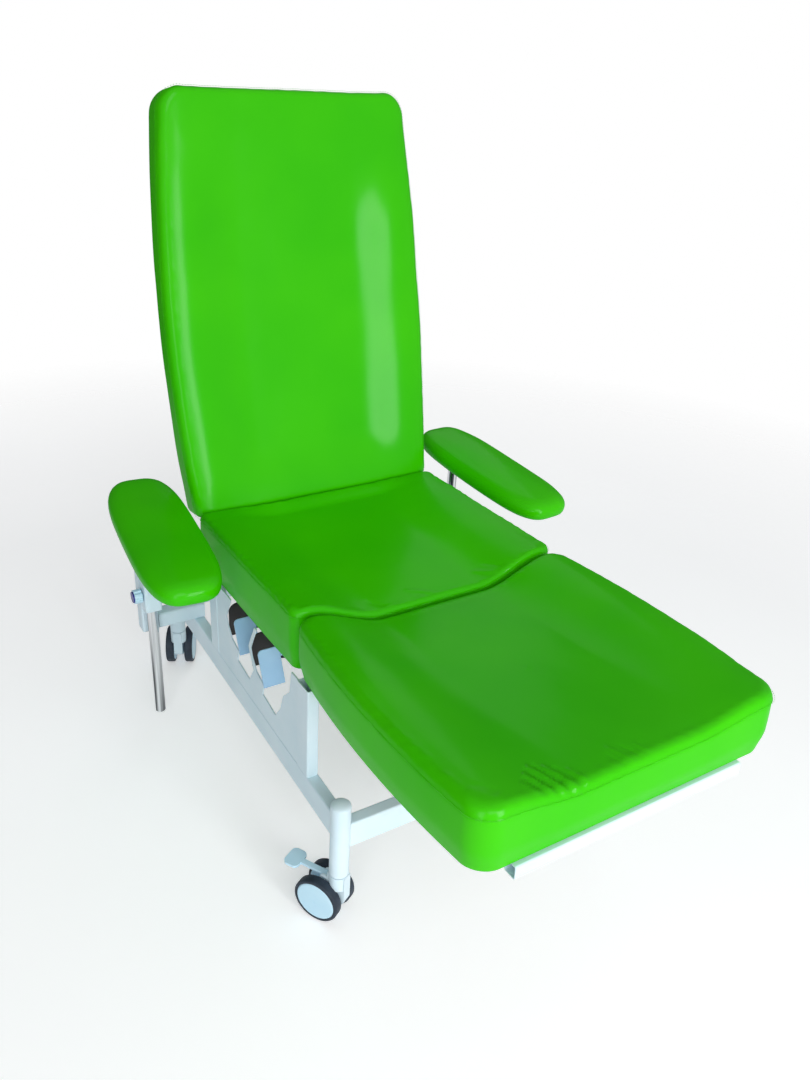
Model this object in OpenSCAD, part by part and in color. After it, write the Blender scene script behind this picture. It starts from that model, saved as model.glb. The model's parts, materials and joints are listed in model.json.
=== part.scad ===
/* [Overall] */
// Height of the seat's front top edge above the floor
seat_front_h = 612; // [580:1:650]
// Angle by which the seat and leg sections rise towards the front
seat_tilt = 2.4; // [1:0.1:4]
// Lean of the backrest from upright at rest
back_lean = 11.2; // [8:0.1:16]

/* [Cushions] */
// Length of the seat cushion, front to rear
seat_l = 508; // [480:1:540]
// Width of the seat cushion at its rear and front edges
seat_w = 620; // [600:1:640]
// Thickness of the seat cushion with its board
seat_t = 135; // [128:1:140]
// Thickness of the leg cushion with its board
leg_t = 124; // [110:1:126]
// Length of the leg cushion
leg_l = 602; // [580:1:620]
// Width of the leg cushion at its ends
leg_w = 624; // [600:1:640]
// Width of the leg cushion at its middle
leg_mid_w = 664; // [640:1:680]
// Height of the back cushion above the seat
back_h = 890; // [850:1:920]
// Width of the back cushion at its bottom
back_low_w = 620; // [600:1:630]
// Width of the back cushion at its widest place
back_mid_w = 646; // [630:1:656]
// Width of the back cushion at its top
back_top_w = 568; // [540:1:600]
// Thickness of the back cushion with its board
back_t = 100; // [85:1:110]
// Depth of the hollow in the seat at its front edge
seat_dish = 48; // [20:1:55]
// Depth of the hollow in the seat at its rear edge
seat_rear_dish = 18; // [10:1:30]
// Depth of the hollow in the leg cushion at its foot end
leg_front_dish = 10; // [4:1:20]
// Depth of the hollow across the back cushion
back_dish = 20; // [8:1:30]
// Depth of the lengthwise bow of the back cushion
back_bow = 16; // [6:1:24]
// How far the cushion sides swell
cushion_bulge = 5; // [2:1:8]
// How far the cushion sides draw in at their lower edge
cushion_tuck = 14; // [6:1:20]
// Radius of the upper edges of the cushions
cushion_edge_r = 22; // [12:1:28]
// Gap between the leg cushion and the seat cushion
leg_gap = 3; // [2:0.5:8]
// Gap between the seat cushion and the back cushion
back_gap = 4; // [3:0.5:10]
// How far the back cushion reaches below the seat surface
back_drop = 22; // [10:1:30]

/* [Boards and frames] */
// Thickness of the boards let into the cushions
board_t = 12; // [9:1:15]
// Distance from a cushion's outline to the edge of its board
board_inset = 45; // [40:1:60]
// Side of the square tubes of the seat, leg and back frames
frame_tube = 25; // [22:1:30]
// Wall of the square tubes
frame_wall = 2; // [1.5:0.5:3]
// Half of the distance between the long tubes of each frame
frame_x = 227.5; // [215:0.5:240]
// Height up to which the back frame reaches above the seat
back_frame_h = 800; // [740:1:830]

/* [Base] */
// Half of the distance between the left and right corner tubes
track_x = 297; // [285:1:305]
// Distance of the front corner tubes in front of the seat's front edge
front_tube_y = 182; // [150:1:210]
// Distance of the rear corner tubes behind the seat's front edge
rear_tube_y = 765; // [730:1:790]
// Outer diameter of the corner tubes
corner_d = 40; // [38:1:44]
// Wall of the corner tubes
corner_wall = 2.5; // [2:0.5:4]
// Height of the top of the corner tubes above the floor
corner_top_h = 301; // [290:1:320]
// Rise of the domed top of the corner tubes
corner_dome = 9; // [4:1:14]
// Height of the underside of the side rails above the floor
rail_low_h = 208; // [200:1:220]
// Height of the side rails
rail_h = 60; // [50:1:70]
// Width of the side rails
rail_w = 26; // [24:1:28]
// Wall of the rails and crossbars
rail_wall = 2; // [1.5:0.5:3]
// Height of the underside of the crossbars above the floor
cross_low_h = 190; // [180:1:200]
// Height of the crossbars
cross_h = 60; // [50:1:70]
// Depth of the crossbars, front to rear
cross_d = 28; // [24:1:28]
// Width of the upright posts, front to rear
post_l = 48; // [40:1:55]
// Thickness of the upright posts, side to side
post_w = 25; // [22:1:28]
// Distance of the front posts' front face ahead of the seat's front edge
front_post_y = 63; // [60:1:66]
// Distance of the rear posts' front face behind the seat's front edge
rear_post_y = 412; // [390:1:425]
// Thickness of the side panels
panel_t = 3; // [2:0.5:4]

/* [Armrests] */
// Half of the distance between the armrest posts
arm_x = 420; // [415:1:430]
// Distance of the armrest posts behind the seat's front edge
arm_y = 552; // [540:1:560]
// Diameter of the armrest posts
arm_post_d = 25; // [22:1:28]
// Height of the lower end of the armrest posts above the floor
arm_post_low_h = 40; // [30:1:60]
// Height of the armrest pads' underside at the post above the floor
arm_pad_h = 596; // [585:1:610]
// Length of the armrest pads
pad_l = 480; // [440:1:500]
// Width of the armrest pads
pad_w = 152; // [140:1:154]
// Thickness of the armrest pads
pad_t = 50; // [40:1:55]
// Distance from the post to the middle of the pad
pad_forward = 142; // [130:1:150]
// Fall of the armrest pads towards the front
pad_fall = 3.4; // [1:0.1:5]
// Outward turn of the armrest pads at rest
pad_splay = 3.5; // [1:0.1:6]
// Side of the square sleeve that holds an armrest post
sleeve_w = 40; // [36:1:44]
// Height of the lower end of the sleeve above the floor
sleeve_low_h = 345; // [335:1:360]
// Height of the upper end of the sleeve above the floor
sleeve_top_h = 462; // [440:1:480]

/* [Mechanism] */
// Distance of the leg hinge ahead of the seat's front edge
leg_pivot_y = 80; // [78:0.5:84]
// Distance of the back hinge below the seat surface, along the back
back_pivot_drop = 115; // [110:1:120]
// Diameter of the hinge pins
hinge_pin_d = 12; // [10:1:14]
// Diameter of the gas spring cylinders
gas_d = 28; // [24:1:30]
// Diameter of the gas spring rods
gas_rod_d = 10; // [8:1:11]
// Distance from a hinge to the pin that the gas spring works on
gas_arm = 55; // [50:1:60]
// Distance of the leg lever's axis behind the seat's front edge
leg_lever_y = 171; // [168:1:174]
// Distance between the two release levers
lever_pitch = 131; // [128:1:134]
// Distance of the lever axes below the seat's front top edge
lever_axis_drop = 202; // [199:1:205]
// Rise of the release levers above their axes
lever_rise = 14; // [10:1:18]
// Lean of the release levers from upright
lever_lean = 24.5; // [20:0.5:28]
// Distance of the gas spring anchors below the lever axes
anchor_drop = 42; // [40:1:45]

/* [Casters] */
// Diameter of the caster wheels
wheel_d = 100; // [90:1:104]
// Width of one tyre
tyre_w = 22; // [18:1:24]
// Distance between the middles of a caster's two wheels
wheel_spacing = 48; // [46:1:54]
// Distance from the swivel axis back to the axle
caster_trail = 32; // [26:1:38]
// Height of the caster housing's top face above the floor
caster_top_h = 118; // [114:1:124]
// Distance from the swivel axis to the tip of the brake pedal
pedal_reach = 120; // [112:1:130]
// Width of the brake pedal's tread
pedal_w = 44; // [36:1:46]
// Turn of each caster about its stem: front left, front right, rear left, rear right
caster_turns = [30, 14, -27, 27]; // one angle for each caster

/* [Hidden] */

// Smoothness of round pieces
$fn = 64;
// Steps in a rounded corner of a profile
corner_steps = 4;
// How far cutting shapes run past what they cut
over = 1;
// Running clearance, on the radius, of every pin in its bore
run_clear = 0.05;
// Gap kept between pieces that move past each other
move_gap = 0.5;

// Colours of the finishes
vinyl_green = [0.30, 0.78, 0.02];
coat_white = [0.88, 0.92, 0.94];
chrome = [0.75, 0.76, 0.78];
zinc = [0.62, 0.64, 0.66];
board_brown = [0.42, 0.30, 0.18];
bracket_dark = [0.12, 0.11, 0.11];
tyre_dark = [0.18, 0.22, 0.27];
plastic_pale = [0.80, 0.88, 0.93];
cap_blue = [0.10, 0.16, 0.62];
gas_black = [0.10, 0.10, 0.11];

// Place of the frame tubes under the seat and leg surface
frame_top = -seat_t;
frame_mid = frame_top - frame_tube / 2;
frame_low = frame_top - frame_tube;
// The leg frame lies this much above the seat frame
leg_lift = seat_t - leg_t;
leg_frame_mid = -leg_t - frame_tube / 2;

// Front and rear end of the whole chair, from the seat's front edge
front_reach = (leg_l + leg_gap + cushion_bulge) * cos(seat_tilt) + leg_t / 2 * sin(seat_tilt);
rear_reach = rear_tube_y + pedal_reach * cos(caster_turns[2]) + pedal_w / 2 * abs(sin(caster_turns[2]));
centre_shift = (front_reach - rear_reach) / 2;

// Heights of the lever axes and the gas spring anchors above the floor
lever_axis_h = seat_front_h - lever_axis_drop;
anchor_h = lever_axis_h - anchor_drop;

// Where the seat's rear top edge is
seat_rear_y = seat_l * cos(seat_tilt);
seat_rear_z = seat_front_h - seat_l * sin(seat_tilt);
// Back hinge, in the back's own axes and in the room's
back_pivot_depth = back_t + frame_tube / 2;
back_pivot = [seat_rear_y + back_gap + back_pivot_depth * cos(back_lean) - back_pivot_drop * sin(back_lean),
    seat_rear_z - back_pivot_depth * sin(back_lean) - back_pivot_drop * cos(back_lean)];
// Leg hinge in the room's axes
leg_pivot_s = [-leg_pivot_y, (frame_mid + leg_frame_mid) / 2];
leg_pivot = [leg_pivot_s[0] * cos(seat_tilt) + leg_pivot_s[1] * sin(seat_tilt),
    seat_front_h - leg_pivot_s[0] * sin(seat_tilt) + leg_pivot_s[1] * cos(seat_tilt)];
// Axes of the release levers, with the gas spring anchors just behind them
back_lever_y = leg_lever_y + lever_pitch;
anchor_set_back = 2;
back_anchor_y = back_lever_y + anchor_set_back;
leg_anchor_y = leg_lever_y + anchor_set_back;
// Angles from the hinges to the gas spring pins, in the room's axes
back_gas_angle = -54;
leg_gas_angle = -130;
back_gas_pin = back_pivot + gas_arm * [cos(back_gas_angle), sin(back_gas_angle)];
leg_gas_pin = leg_pivot + gas_arm * [cos(leg_gas_angle), sin(leg_gas_angle)];
back_anchor = [back_anchor_y, anchor_h];
leg_anchor = [leg_anchor_y, anchor_h];
back_gas_l = norm(back_gas_pin - back_anchor);
leg_gas_l = norm(leg_gas_pin - leg_anchor);

// A point of the room, [y, z], in the seat section's tilted axes
function to_seat(p) = let (dy = p[0], dz = p[1] - seat_front_h)
    [dy * cos(seat_tilt) - dz * sin(seat_tilt), dy * sin(seat_tilt) + dz * cos(seat_tilt)];
// A point of the room, [y, z], in the back's leaning axes
function to_back(p) = let (dy = p[0] - seat_rear_y - back_gap, dz = p[1] - seat_rear_z)
    [dy * cos(back_lean) - dz * sin(back_lean), dy * sin(back_lean) + dz * cos(back_lean)];

// Points on an arc
function arc(c, r, a0, a1, steps) =
    [for (i = [0:steps]) let (a = a0 + (a1 - a0) * i / steps) c + r * [cos(a), sin(a)]];
// Outline of a rectangle with round corners, centred
function round_rect(w, h, r) = concat(
    arc([w / 2 - r, h / 2 - r], r, 0, 90, corner_steps),
    arc([r - w / 2, h / 2 - r], r, 90, 180, corner_steps),
    arc([r - w / 2, r - h / 2], r, 180, 270, corner_steps),
    arc([w / 2 - r, r - h / 2], r, 270, 360, corner_steps));

// Everything is drawn from the seat's front edge and moved to the middle of the floor area
module placed() {
    translate([0, centre_shift, 0]) children();
}
module on_seat() {
    translate([0, 0, seat_front_h]) rotate([-seat_tilt, 0, 0]) children();
}
module on_back() {
    translate([0, seat_rear_y + back_gap, seat_rear_z]) rotate([-back_lean, 0, 0]) children();
}
module mirrored(side) {
    scale([side, 1, 1]) children();
}
// A plate of thickness t whose outline is drawn in y and z, from x to x + t
module plate_yz(x, t, points) {
    translate([x, 0, 0]) rotate([90, 0, 90]) linear_extrude(t) polygon(points);
}
// A cylinder along x
module bar_x(x0, x1, p, d) {
    translate([x0, p[0], p[1]]) rotate([0, 90, 0]) cylinder(d = d, h = x1 - x0);
}

// Hollow rectangular tubes, centred on their own axis
tube_round_share = 0.14;
module tube(w, h, wall, l) {
    r = min(w, h) * tube_round_share;
    difference() {
        linear_extrude(l) polygon(round_rect(w, h, r));
        translate([0, 0, -over])
            linear_extrude(l + 2 * over) polygon(round_rect(w - 2 * wall, h - 2 * wall, max(r - wall, r / 3)));
    }
}
module tube_y(x, y0, y1, z, w, h, wall) {
    translate([x, y0, z]) rotate([-90, 0, 0]) tube(w, h, wall, y1 - y0);
}
module tube_x(x0, x1, y, z, d, h, wall) {
    translate([x0, y, z]) rotate([0, 90, 0]) tube(h, d, wall, x1 - x0);
}
module tube_z(x, y, z0, z1, w, d, wall) {
    translate([x, y, z0]) tube(w, d, wall, z1 - z0);
}

// Base frame
corner_ys = [-front_tube_y, rear_tube_y];
rail_mid_h = rail_low_h + rail_h / 2;
cross_mid_h = cross_low_h + cross_h / 2;
rail_top_h = rail_low_h + rail_h;
// Outer face of the rails, posts and panels
side_x = track_x + rail_w / 2;

module corner_solids(d) {
    for (y = corner_ys, side = [-1, 1])
        translate([side * track_x, y, 0]) cylinder(d = d, h = corner_top_h + over);
}
module side_rail(side) {
    difference() {
        tube_y(side * track_x, corner_ys[0], corner_ys[1], rail_mid_h, rail_w, rail_h, rail_wall);
        corner_solids(corner_d);
    }
}
module crossbar(y) {
    difference() {
        tube_x(-track_x, track_x, y, cross_mid_h, cross_d, cross_h, rail_wall);
        corner_solids(corner_d);
    }
}
module side_rail_left() { color(coat_white) placed() side_rail(-1); }
module side_rail_right() { color(coat_white) placed() side_rail(1); }
module front_crossbar() { color(coat_white) placed() crossbar(corner_ys[0]); }
module rear_crossbar() { color(coat_white) placed() crossbar(corner_ys[1]); }

// Corner tubes with domed tops, open below for the caster stems
dome_rise_steps = 6;
corner_low_h = caster_top_h + move_gap + 3 * move_gap;
corner_inner_d = corner_d - 2 * corner_wall;
function dome_outline() = let (r = corner_d / 2, base = corner_top_h - corner_dome)
    concat([[0, base - corner_wall], [r, base - corner_wall]],
        [for (i = [0:dome_rise_steps]) let (a = 90 * i / dome_rise_steps)
            [r * cos(a) * (i < dome_rise_steps ? 1 : 0), base + corner_dome * sin(a)]]);
module corner_tube() {
    translate([0, 0, corner_low_h]) difference() {
        cylinder(d = corner_d, h = corner_top_h - corner_dome - corner_wall - corner_low_h);
        translate([0, 0, -over])
            cylinder(d = corner_inner_d, h = corner_top_h + 2 * over);
    }
    rotate_extrude() polygon(dome_outline());
}
module corner_tubes() {
    color(coat_white) placed() for (y = corner_ys, side = [-1, 1])
        translate([side * track_x, y, 0]) corner_tube();
}

// Caster stems: a plug in the corner tube and a king pin in the housing
stem_plug_l = 42;
king_d = 12;
king_l = 30;
stem_flange_t = corner_low_h - caster_top_h - move_gap;
module caster_stem() {
    translate([0, 0, corner_low_h]) cylinder(d = corner_inner_d, h = stem_plug_l);
    translate([0, 0, corner_low_h - stem_flange_t]) cylinder(d = corner_inner_d, h = stem_flange_t);
    translate([0, 0, caster_top_h - king_l]) cylinder(d = king_d, h = king_l + stem_flange_t + over);
}
module caster_stems() {
    color(zinc) placed() for (y = corner_ys, side = [-1, 1])
        translate([side * track_x, y, 0]) caster_stem();
}

// Posts from the rails up to the seat, cut along the underside of the cushion
post_gap = 0.5;
post_x = side_x - post_w / 2;
module under_seat() {
    intersection() {
        children();
        on_seat() translate([-seat_w, -seat_l, -seat_front_h])
            cube([2 * seat_w, 3 * seat_l, seat_front_h - seat_t - post_gap]);
    }
}
module frame_posts() {
    color(coat_white) placed() for (side = [-1, 1], y = [-front_post_y, rear_post_y])
        under_seat() tube_z(side * post_x, y + post_l / 2, rail_top_h, seat_front_h, post_w, post_l, frame_wall);
}

// Side panels between the posts; the left one has the two lever slots
panel_recess = 1.5;
slot_pitch = 138;
slot_front_y = 66;
// Room between the rails and the lever axes, and the slots' low end and unit height in shares of it
lever_room = lever_axis_h - rail_top_h;
slot_low_share = 0.317;
slot_unit_share = 0.704;
slot_low_h = rail_top_h + slot_low_share * lever_room;
// Outlines of the slots in shares of one reference size, from the lower front: both rear edges,
// the front edge of the front slot, and that of the rear slot, which leaves a strip between them
slot_size = [100, slot_unit_share * lever_room];
slot_rear_shares = [[0.92, 0.09], [0.86, 0.37], [1.24, 0.48], [1.47, 0.73], [1.53, 0.91], [1.40, 1.18],
    [1.06, 1.8]];
slot_front_shares = [[-0.56, 1.8], [-0.44, 1.09], [-0.13, 0.77], [0, 0.37], [0.26, 0]];
strip_front_shares = [[-0.22, 1.8], [0.12, 1.18], [0.25, 0.91], [0.19, 0.73], [0, 0.42], [0.26, 0]];
panel_x = side_x - panel_recess - panel_t;
panel_y0 = post_l - front_post_y;
module slot(y0, front_shares) {
    translate([-side_x - over, 0, 0]) rotate([90, 0, 90])
        linear_extrude(panel_t + 2 * panel_recess + 2 * over)
            polygon([for (s = concat(slot_rear_shares, front_shares))
                [y0 + s[0] * slot_size[0], slot_low_h + s[1] * slot_size[1]]]);
}
module side_panel_blank() {
    under_seat() translate([panel_x, panel_y0, rail_top_h])
        cube([panel_t, rear_post_y - panel_y0, seat_front_h]);
}
module side_panel_left() {
    color(coat_white) placed() difference() {
        mirrored(-1) side_panel_blank();
        slot(slot_front_y, slot_front_shares);
        slot(slot_front_y + slot_pitch, strip_front_shares);
    }
}
module side_panel_right() { color(coat_white) placed() side_panel_blank(); }

// Seat frame: cross tubes between the posts and long tubes between them
front_cross_y = -front_post_y + post_l / 2;
rear_cross_y = rear_post_y + post_l / 2;
frame_reach = side_x - post_w;
half_tube = frame_tube / 2;
mid_cross_ys = [leg_anchor_y, back_anchor_y];
hinge_arm_gap = 34;
hinge_arm_end = to_seat(back_pivot)[0] - hinge_arm_gap;
module frame_y(x, y0, y1) { tube_y(x, y0, y1, frame_mid, frame_tube, frame_tube, frame_wall); }
module frame_cross(y, half) { tube_x(-half, half, y, frame_mid, frame_tube, frame_tube, frame_wall); }
module seat_frame() {
    color(coat_white) placed() on_seat() {
        frame_cross(front_cross_y, frame_reach);
        frame_cross(rear_cross_y, frame_reach);
        for (side = [-1, 1]) {
            frame_y(side * frame_x, front_cross_y + half_tube, rear_cross_y - half_tube);
            frame_y(side * frame_x, rear_cross_y + half_tube, hinge_arm_end);
        }
        for (y = mid_cross_ys) frame_cross(y, frame_x - half_tube);
    }
}

// Boards, let into the undersides of the cushions
board_clear = 0.4;
board_r = 30;
module board_plate(w, l, t) {
    linear_extrude(t) polygon(round_rect(w, l, board_r));
}
module seat_board_shape(grow) {
    translate([0, seat_l / 2, -seat_t]) translate([0, 0, grow > 0 ? -over : 0])
        board_plate(seat_w - 2 * board_inset + 2 * grow, seat_l - 2 * board_inset + 2 * grow,
            board_t + (grow > 0 ? over + board_clear : 0));
}
module seat_board() { color(board_brown) placed() on_seat() seat_board_shape(0); }
module leg_board_shape(grow) {
    translate([0, -leg_gap - leg_l / 2, -leg_t]) translate([0, 0, grow > 0 ? -over : 0])
        board_plate(leg_w - 2 * board_inset + 2 * grow, leg_l - 2 * board_inset + 2 * grow,
            board_t + (grow > 0 ? over + board_clear : 0));
}
module leg_board() { color(board_brown) placed() on_seat() leg_board_shape(0); }
back_mid_z = (back_h - back_drop) / 2;
back_l = back_h + back_drop;
module back_board_shape(grow) {
    translate([0, back_t + (grow > 0 ? over : 0), back_mid_z]) rotate([90, 0, 0])
        board_plate(back_top_w - 2 * board_inset + 2 * grow, back_l - 2 * board_inset + 2 * grow,
            board_t + (grow > 0 ? over + board_clear : 0));
}
module back_board() { color(board_brown) placed() on_back() back_board_shape(0); }

// Cushion form: rings of a rounded outline stacked up the sides and drawn in over the dished top.
// Inset of each side ring in shares of the tuck or the bulge, and its height in shares of the thickness
ring_points = 56;
side_tuck_shares = [1, 0.45, 0, 0, 0, 0];
side_bulge_shares = [0, 0, 0.5, 1, 0.9, 0.3];
side_height_shares = [0, 0.05, 0.16, 0.42, 0.64, 0.80];
edge_steps = 4;
top_scale_shares = [0.88, 0.72, 0.54, 0.34, 0.14];
corner_power = 9;
function sgn_pow(v, p) = sign(v) * pow(abs(v), p);
// Point of the outline: u along the width and v along the length, both from -1 to 1
function outline_uv(i) = let (a = 360 * i / ring_points)
    [sgn_pow(cos(a), 2 / corner_power), sgn_pow(sin(a), 2 / corner_power)];
// Half width at a place v along the length, through its three given values
function half_at(v, w) = let (s = (v + 1) / 2)
    (w[0] * (1 - s) * (1 - 2 * s) + w[1] * 4 * s * (1 - s) + w[2] * s * (2 * s - 1)) / 2;
function smooth(s) = let (c = min(max(s, 0), 1)) c * c * (3 - 2 * c);
// How far the top lies below its rim at u across and v along
dish_rim_share = 0.9;
dish_floor_share = 0.38;
function sink_at(u, v, dish, bow) =
    (dish[0] + (dish[1] - dish[0]) * (v + 1) / 2)
        * smooth((dish_rim_share - abs(u)) / (dish_rim_share - dish_floor_share))
        + bow * (1 - v * v);
// One point of a cushion: w holds widths, d the inset in millimetres, h the height share, k the draw-in
function cushion_point(i, w, l, t, d, h, k, dish, bow) =
    let (o = outline_uv(i), v = o[1] * k * (1 - 2 * d / l), half = half_at(v, w),
        u = o[0] * k * (1 - d / half))
    [u * half, v * l / 2, h * (t - sink_at(u, v, dish, bow))];
function cushion_rings(w, l, t, dish, bow) = concat(
    [for (j = [0:len(side_tuck_shares) - 1])
        [cushion_tuck * side_tuck_shares[j] - cushion_bulge * side_bulge_shares[j], side_height_shares[j], 1]],
    [for (j = [1:edge_steps]) let (a = 90 * j / edge_steps)
        [cushion_edge_r * (1 - cos(a)),
            1 - (1 - side_height_shares[len(side_height_shares) - 1]) * (1 - sin(a)), 1]],
    [for (s = top_scale_shares) [cushion_edge_r, 1, s]]);
module cushion_form(w, l, t, dish, bow) {
    rings = cushion_rings(w, l, t, dish, bow);
    n = ring_points;
    last = len(rings) - 1;
    points = concat(
        [for (r = rings, i = [0:n - 1]) cushion_point(i, w, l, t, r[0], r[1], r[2], dish, bow)],
        [[0, 0, 0], [0, 0, t - sink_at(0, 0, dish, bow)]]);
    faces = concat(
        [for (j = [0:last - 1], i = [0:n - 1]) [j * n + i, (j + 1) * n + i, (j + 1) * n + (i + 1) % n]],
        [for (j = [0:last - 1], i = [0:n - 1]) [j * n + i, (j + 1) * n + (i + 1) % n, j * n + (i + 1) % n]],
        [for (i = [0:n - 1]) [i, (i + 1) % n, (last + 1) * n]],
        [for (i = [0:n - 1]) [last * n + (i + 1) % n, last * n + i, (last + 1) * n + 1]]);
    polyhedron(points = points, faces = faces);
}
module seat_cushion() {
    color(vinyl_green) placed() on_seat() difference() {
        translate([0, seat_l / 2, -seat_t])
            cushion_form([seat_w, seat_w + cushion_bulge, seat_w], seat_l - 2 * cushion_bulge, seat_t,
                [seat_dish, seat_rear_dish], 0);
        seat_board_shape(board_clear);
    }
}
module leg_cushion() {
    color(vinyl_green) placed() on_seat() difference() {
        translate([0, -leg_gap - leg_l / 2 - cushion_bulge / 2, -leg_t])
            cushion_form([leg_w, leg_mid_w, leg_w], leg_l - cushion_bulge, leg_t,
                [leg_front_dish, seat_dish], 0);
        leg_board_shape(board_clear);
    }
}
module back_cushion() {
    color(vinyl_green) placed() on_back() difference() {
        translate([0, back_t, back_mid_z]) rotate([90, 0, 0])
            cushion_form([back_low_w, back_mid_w, back_top_w], back_l, back_t,
                [back_dish, back_dish], back_bow);
        back_board_shape(board_clear);
    }
}

// Screws that hold the boards down on the seat frame, driven from below
screw_head_d = 10;
screw_head_h = 3;
screw_x = 120;
module board_screws() {
    color(zinc) placed() on_seat() for (x = [-screw_x, screw_x], y = mid_cross_ys)
        translate([x, y, frame_low - screw_head_h]) cylinder(d = screw_head_d, h = screw_head_h);
}

// Hinge brackets: pairs of ears on the seat frame for the leg hinge and the back hinge
ear_t = 6;
ear_r = 14;
ear_gap = move_gap;
back_pivot_s = to_seat(back_pivot);
module ears(points) {
    for (side = [-1, 1], inner = [0, 1])
        mirrored(side) plate_yz(frame_x + (inner == 1 ? -half_tube - ear_gap - ear_t : half_tube + ear_gap),
            ear_t, points);
}
leg_ear_points = concat([[front_cross_y - half_tube, frame_low], [front_cross_y - half_tube, frame_top]],
    arc(leg_pivot_s, ear_r, 90, 270, 12));
back_ear_root = 40;
back_ear_points = concat([[hinge_arm_end - back_ear_root, frame_top], [hinge_arm_end - back_ear_root, frame_low]],
    arc(back_pivot_s, ear_r, -90, 90, 12));
// Filler plates that bring the back ears onto the arm tubes' sides
module hinge_brackets() {
    color(coat_white) placed() on_seat() difference() {
        union() {
            ears(leg_ear_points);
            for (side = [-1, 1], inner = [0, 1]) mirrored(side)
                plate_yz(frame_x + (inner == 1 ? -half_tube - ear_t : half_tube), ear_t, back_ear_points);
        }
        for (side = [-1, 1], p = [leg_pivot_s, back_pivot_s])
            mirrored(side) bar_x(frame_x - frame_tube, frame_x + frame_tube, p, hinge_pin_d);
    }
}
pin_head_d = 20;
pin_head_t = 4;
module hinge_pin(p, half) {
    for (side = [-1, 1]) mirrored(side) {
        bar_x(frame_x - half, frame_x + half, p, hinge_pin_d);
        bar_x(frame_x + half, frame_x + half + pin_head_t, p, pin_head_d);
        bar_x(frame_x - half - pin_head_t, frame_x - half, p, pin_head_d);
    }
}
module hinge_pins() {
    color(zinc) placed() on_seat() {
        hinge_pin(leg_pivot_s, half_tube + ear_gap + ear_t);
        hinge_pin(back_pivot_s, half_tube + ear_t);
    }
}

// Lugs at the ends of the moving frames, with bores that turn on the hinge pins
back_lug_w = frame_tube - 2 * move_gap;
lug_r = half_tube;
lug_l = 17;
gas_plate_t = 5;
gas_plate_gap = 16;
gas_pin_d = 8;
back_gas_x = -18;
leg_gas_x = 18;
gas_pin_r = 13;
module gas_plates(x, points) {
    for (s = [-1, 1])
        plate_yz(x + s * (gas_plate_gap / 2 + gas_plate_t / 2) - gas_plate_t / 2, gas_plate_t, points);
}
module gas_pin(x, p) {
    half = gas_plate_gap / 2 + gas_plate_t;
    bar_x(x - half, x + half, p, gas_pin_d);
}
leg_tube_start = leg_pivot_y + lug_l;
leg_rear_cross_y = -leg_tube_start - half_tube;
leg_gas_pin_s = to_seat(leg_gas_pin);
module leg_lugs() {
    color(coat_white) placed() on_seat() {
        difference() {
            for (side = [-1, 1]) mirrored(side) {
                bar_x(frame_x - half_tube, frame_x + half_tube, leg_pivot_s, frame_tube);
                translate([frame_x - half_tube, -leg_tube_start, leg_pivot_s[1] - half_tube])
                    cube([frame_tube, lug_l, frame_tube]);
            }
            for (side = [-1, 1]) mirrored(side)
                bar_x(frame_x - frame_tube, frame_x + frame_tube, leg_pivot_s, hinge_pin_d + 2 * run_clear);
        }
        gas_plates(leg_gas_x, concat(
            [[leg_rear_cross_y + half_tube, leg_frame_mid - half_tube],
                [leg_gas_pin_s[0] - gas_pin_r, leg_frame_mid - half_tube]],
            arc(leg_gas_pin_s, gas_pin_r, 180, 360, 10)));
        gas_pin(leg_gas_x, leg_gas_pin_s);
    }
}
leg_frame_set_back = 4;
leg_front_y = -leg_gap - leg_l + leg_frame_set_back;
module leg_frame() {
    color(coat_white) placed() on_seat() translate([0, 0, leg_lift]) {
        for (side = [-1, 1])
            frame_y(side * frame_x, leg_front_y + frame_tube, -leg_tube_start);
        frame_cross(leg_front_y + half_tube, frame_x + half_tube);
        frame_cross(leg_rear_cross_y, frame_x - half_tube);
    }
}

back_pivot_b = to_back(back_pivot);
back_gas_pin_b = to_back(back_gas_pin);
back_tube_y = back_t + half_tube;
back_tube_low = back_pivot_b[1] + lug_l;
back_cross_drop = 24;
back_cross_zs = [-back_drop - back_cross_drop, back_h / 2, back_frame_h - half_tube];
module back_frame() {
    color(coat_white) placed() on_back() {
        for (side = [-1, 1])
            tube_z(side * frame_x, back_tube_y, back_tube_low, back_frame_h, frame_tube, frame_tube, frame_wall);
        for (z = back_cross_zs)
            tube_x(half_tube - frame_x, frame_x - half_tube, back_tube_y, z, frame_tube, frame_tube, frame_wall);
    }
}
module back_lugs() {
    color(coat_white) placed() on_back() {
        difference() {
            for (side = [-1, 1]) mirrored(side) {
                bar_x(frame_x - back_lug_w / 2, frame_x + back_lug_w / 2, back_pivot_b, frame_tube);
                translate([frame_x - back_lug_w / 2, back_tube_y - half_tube, back_pivot_b[1]])
                    cube([back_lug_w, frame_tube, lug_l]);
            }
            for (side = [-1, 1]) mirrored(side)
                bar_x(frame_x - frame_tube, frame_x + frame_tube, back_pivot_b, hinge_pin_d + 2 * run_clear);
        }
        gas_plates(back_gas_x, concat(
            [[back_tube_y + half_tube, back_cross_zs[0] - half_tube], [back_tube_y - half_tube,
                back_cross_zs[0] - half_tube]],
            arc(back_gas_pin_b, gas_pin_r, 215, 395, 10)));
        gas_pin(back_gas_x, back_gas_pin_b);
    }
}

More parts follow.
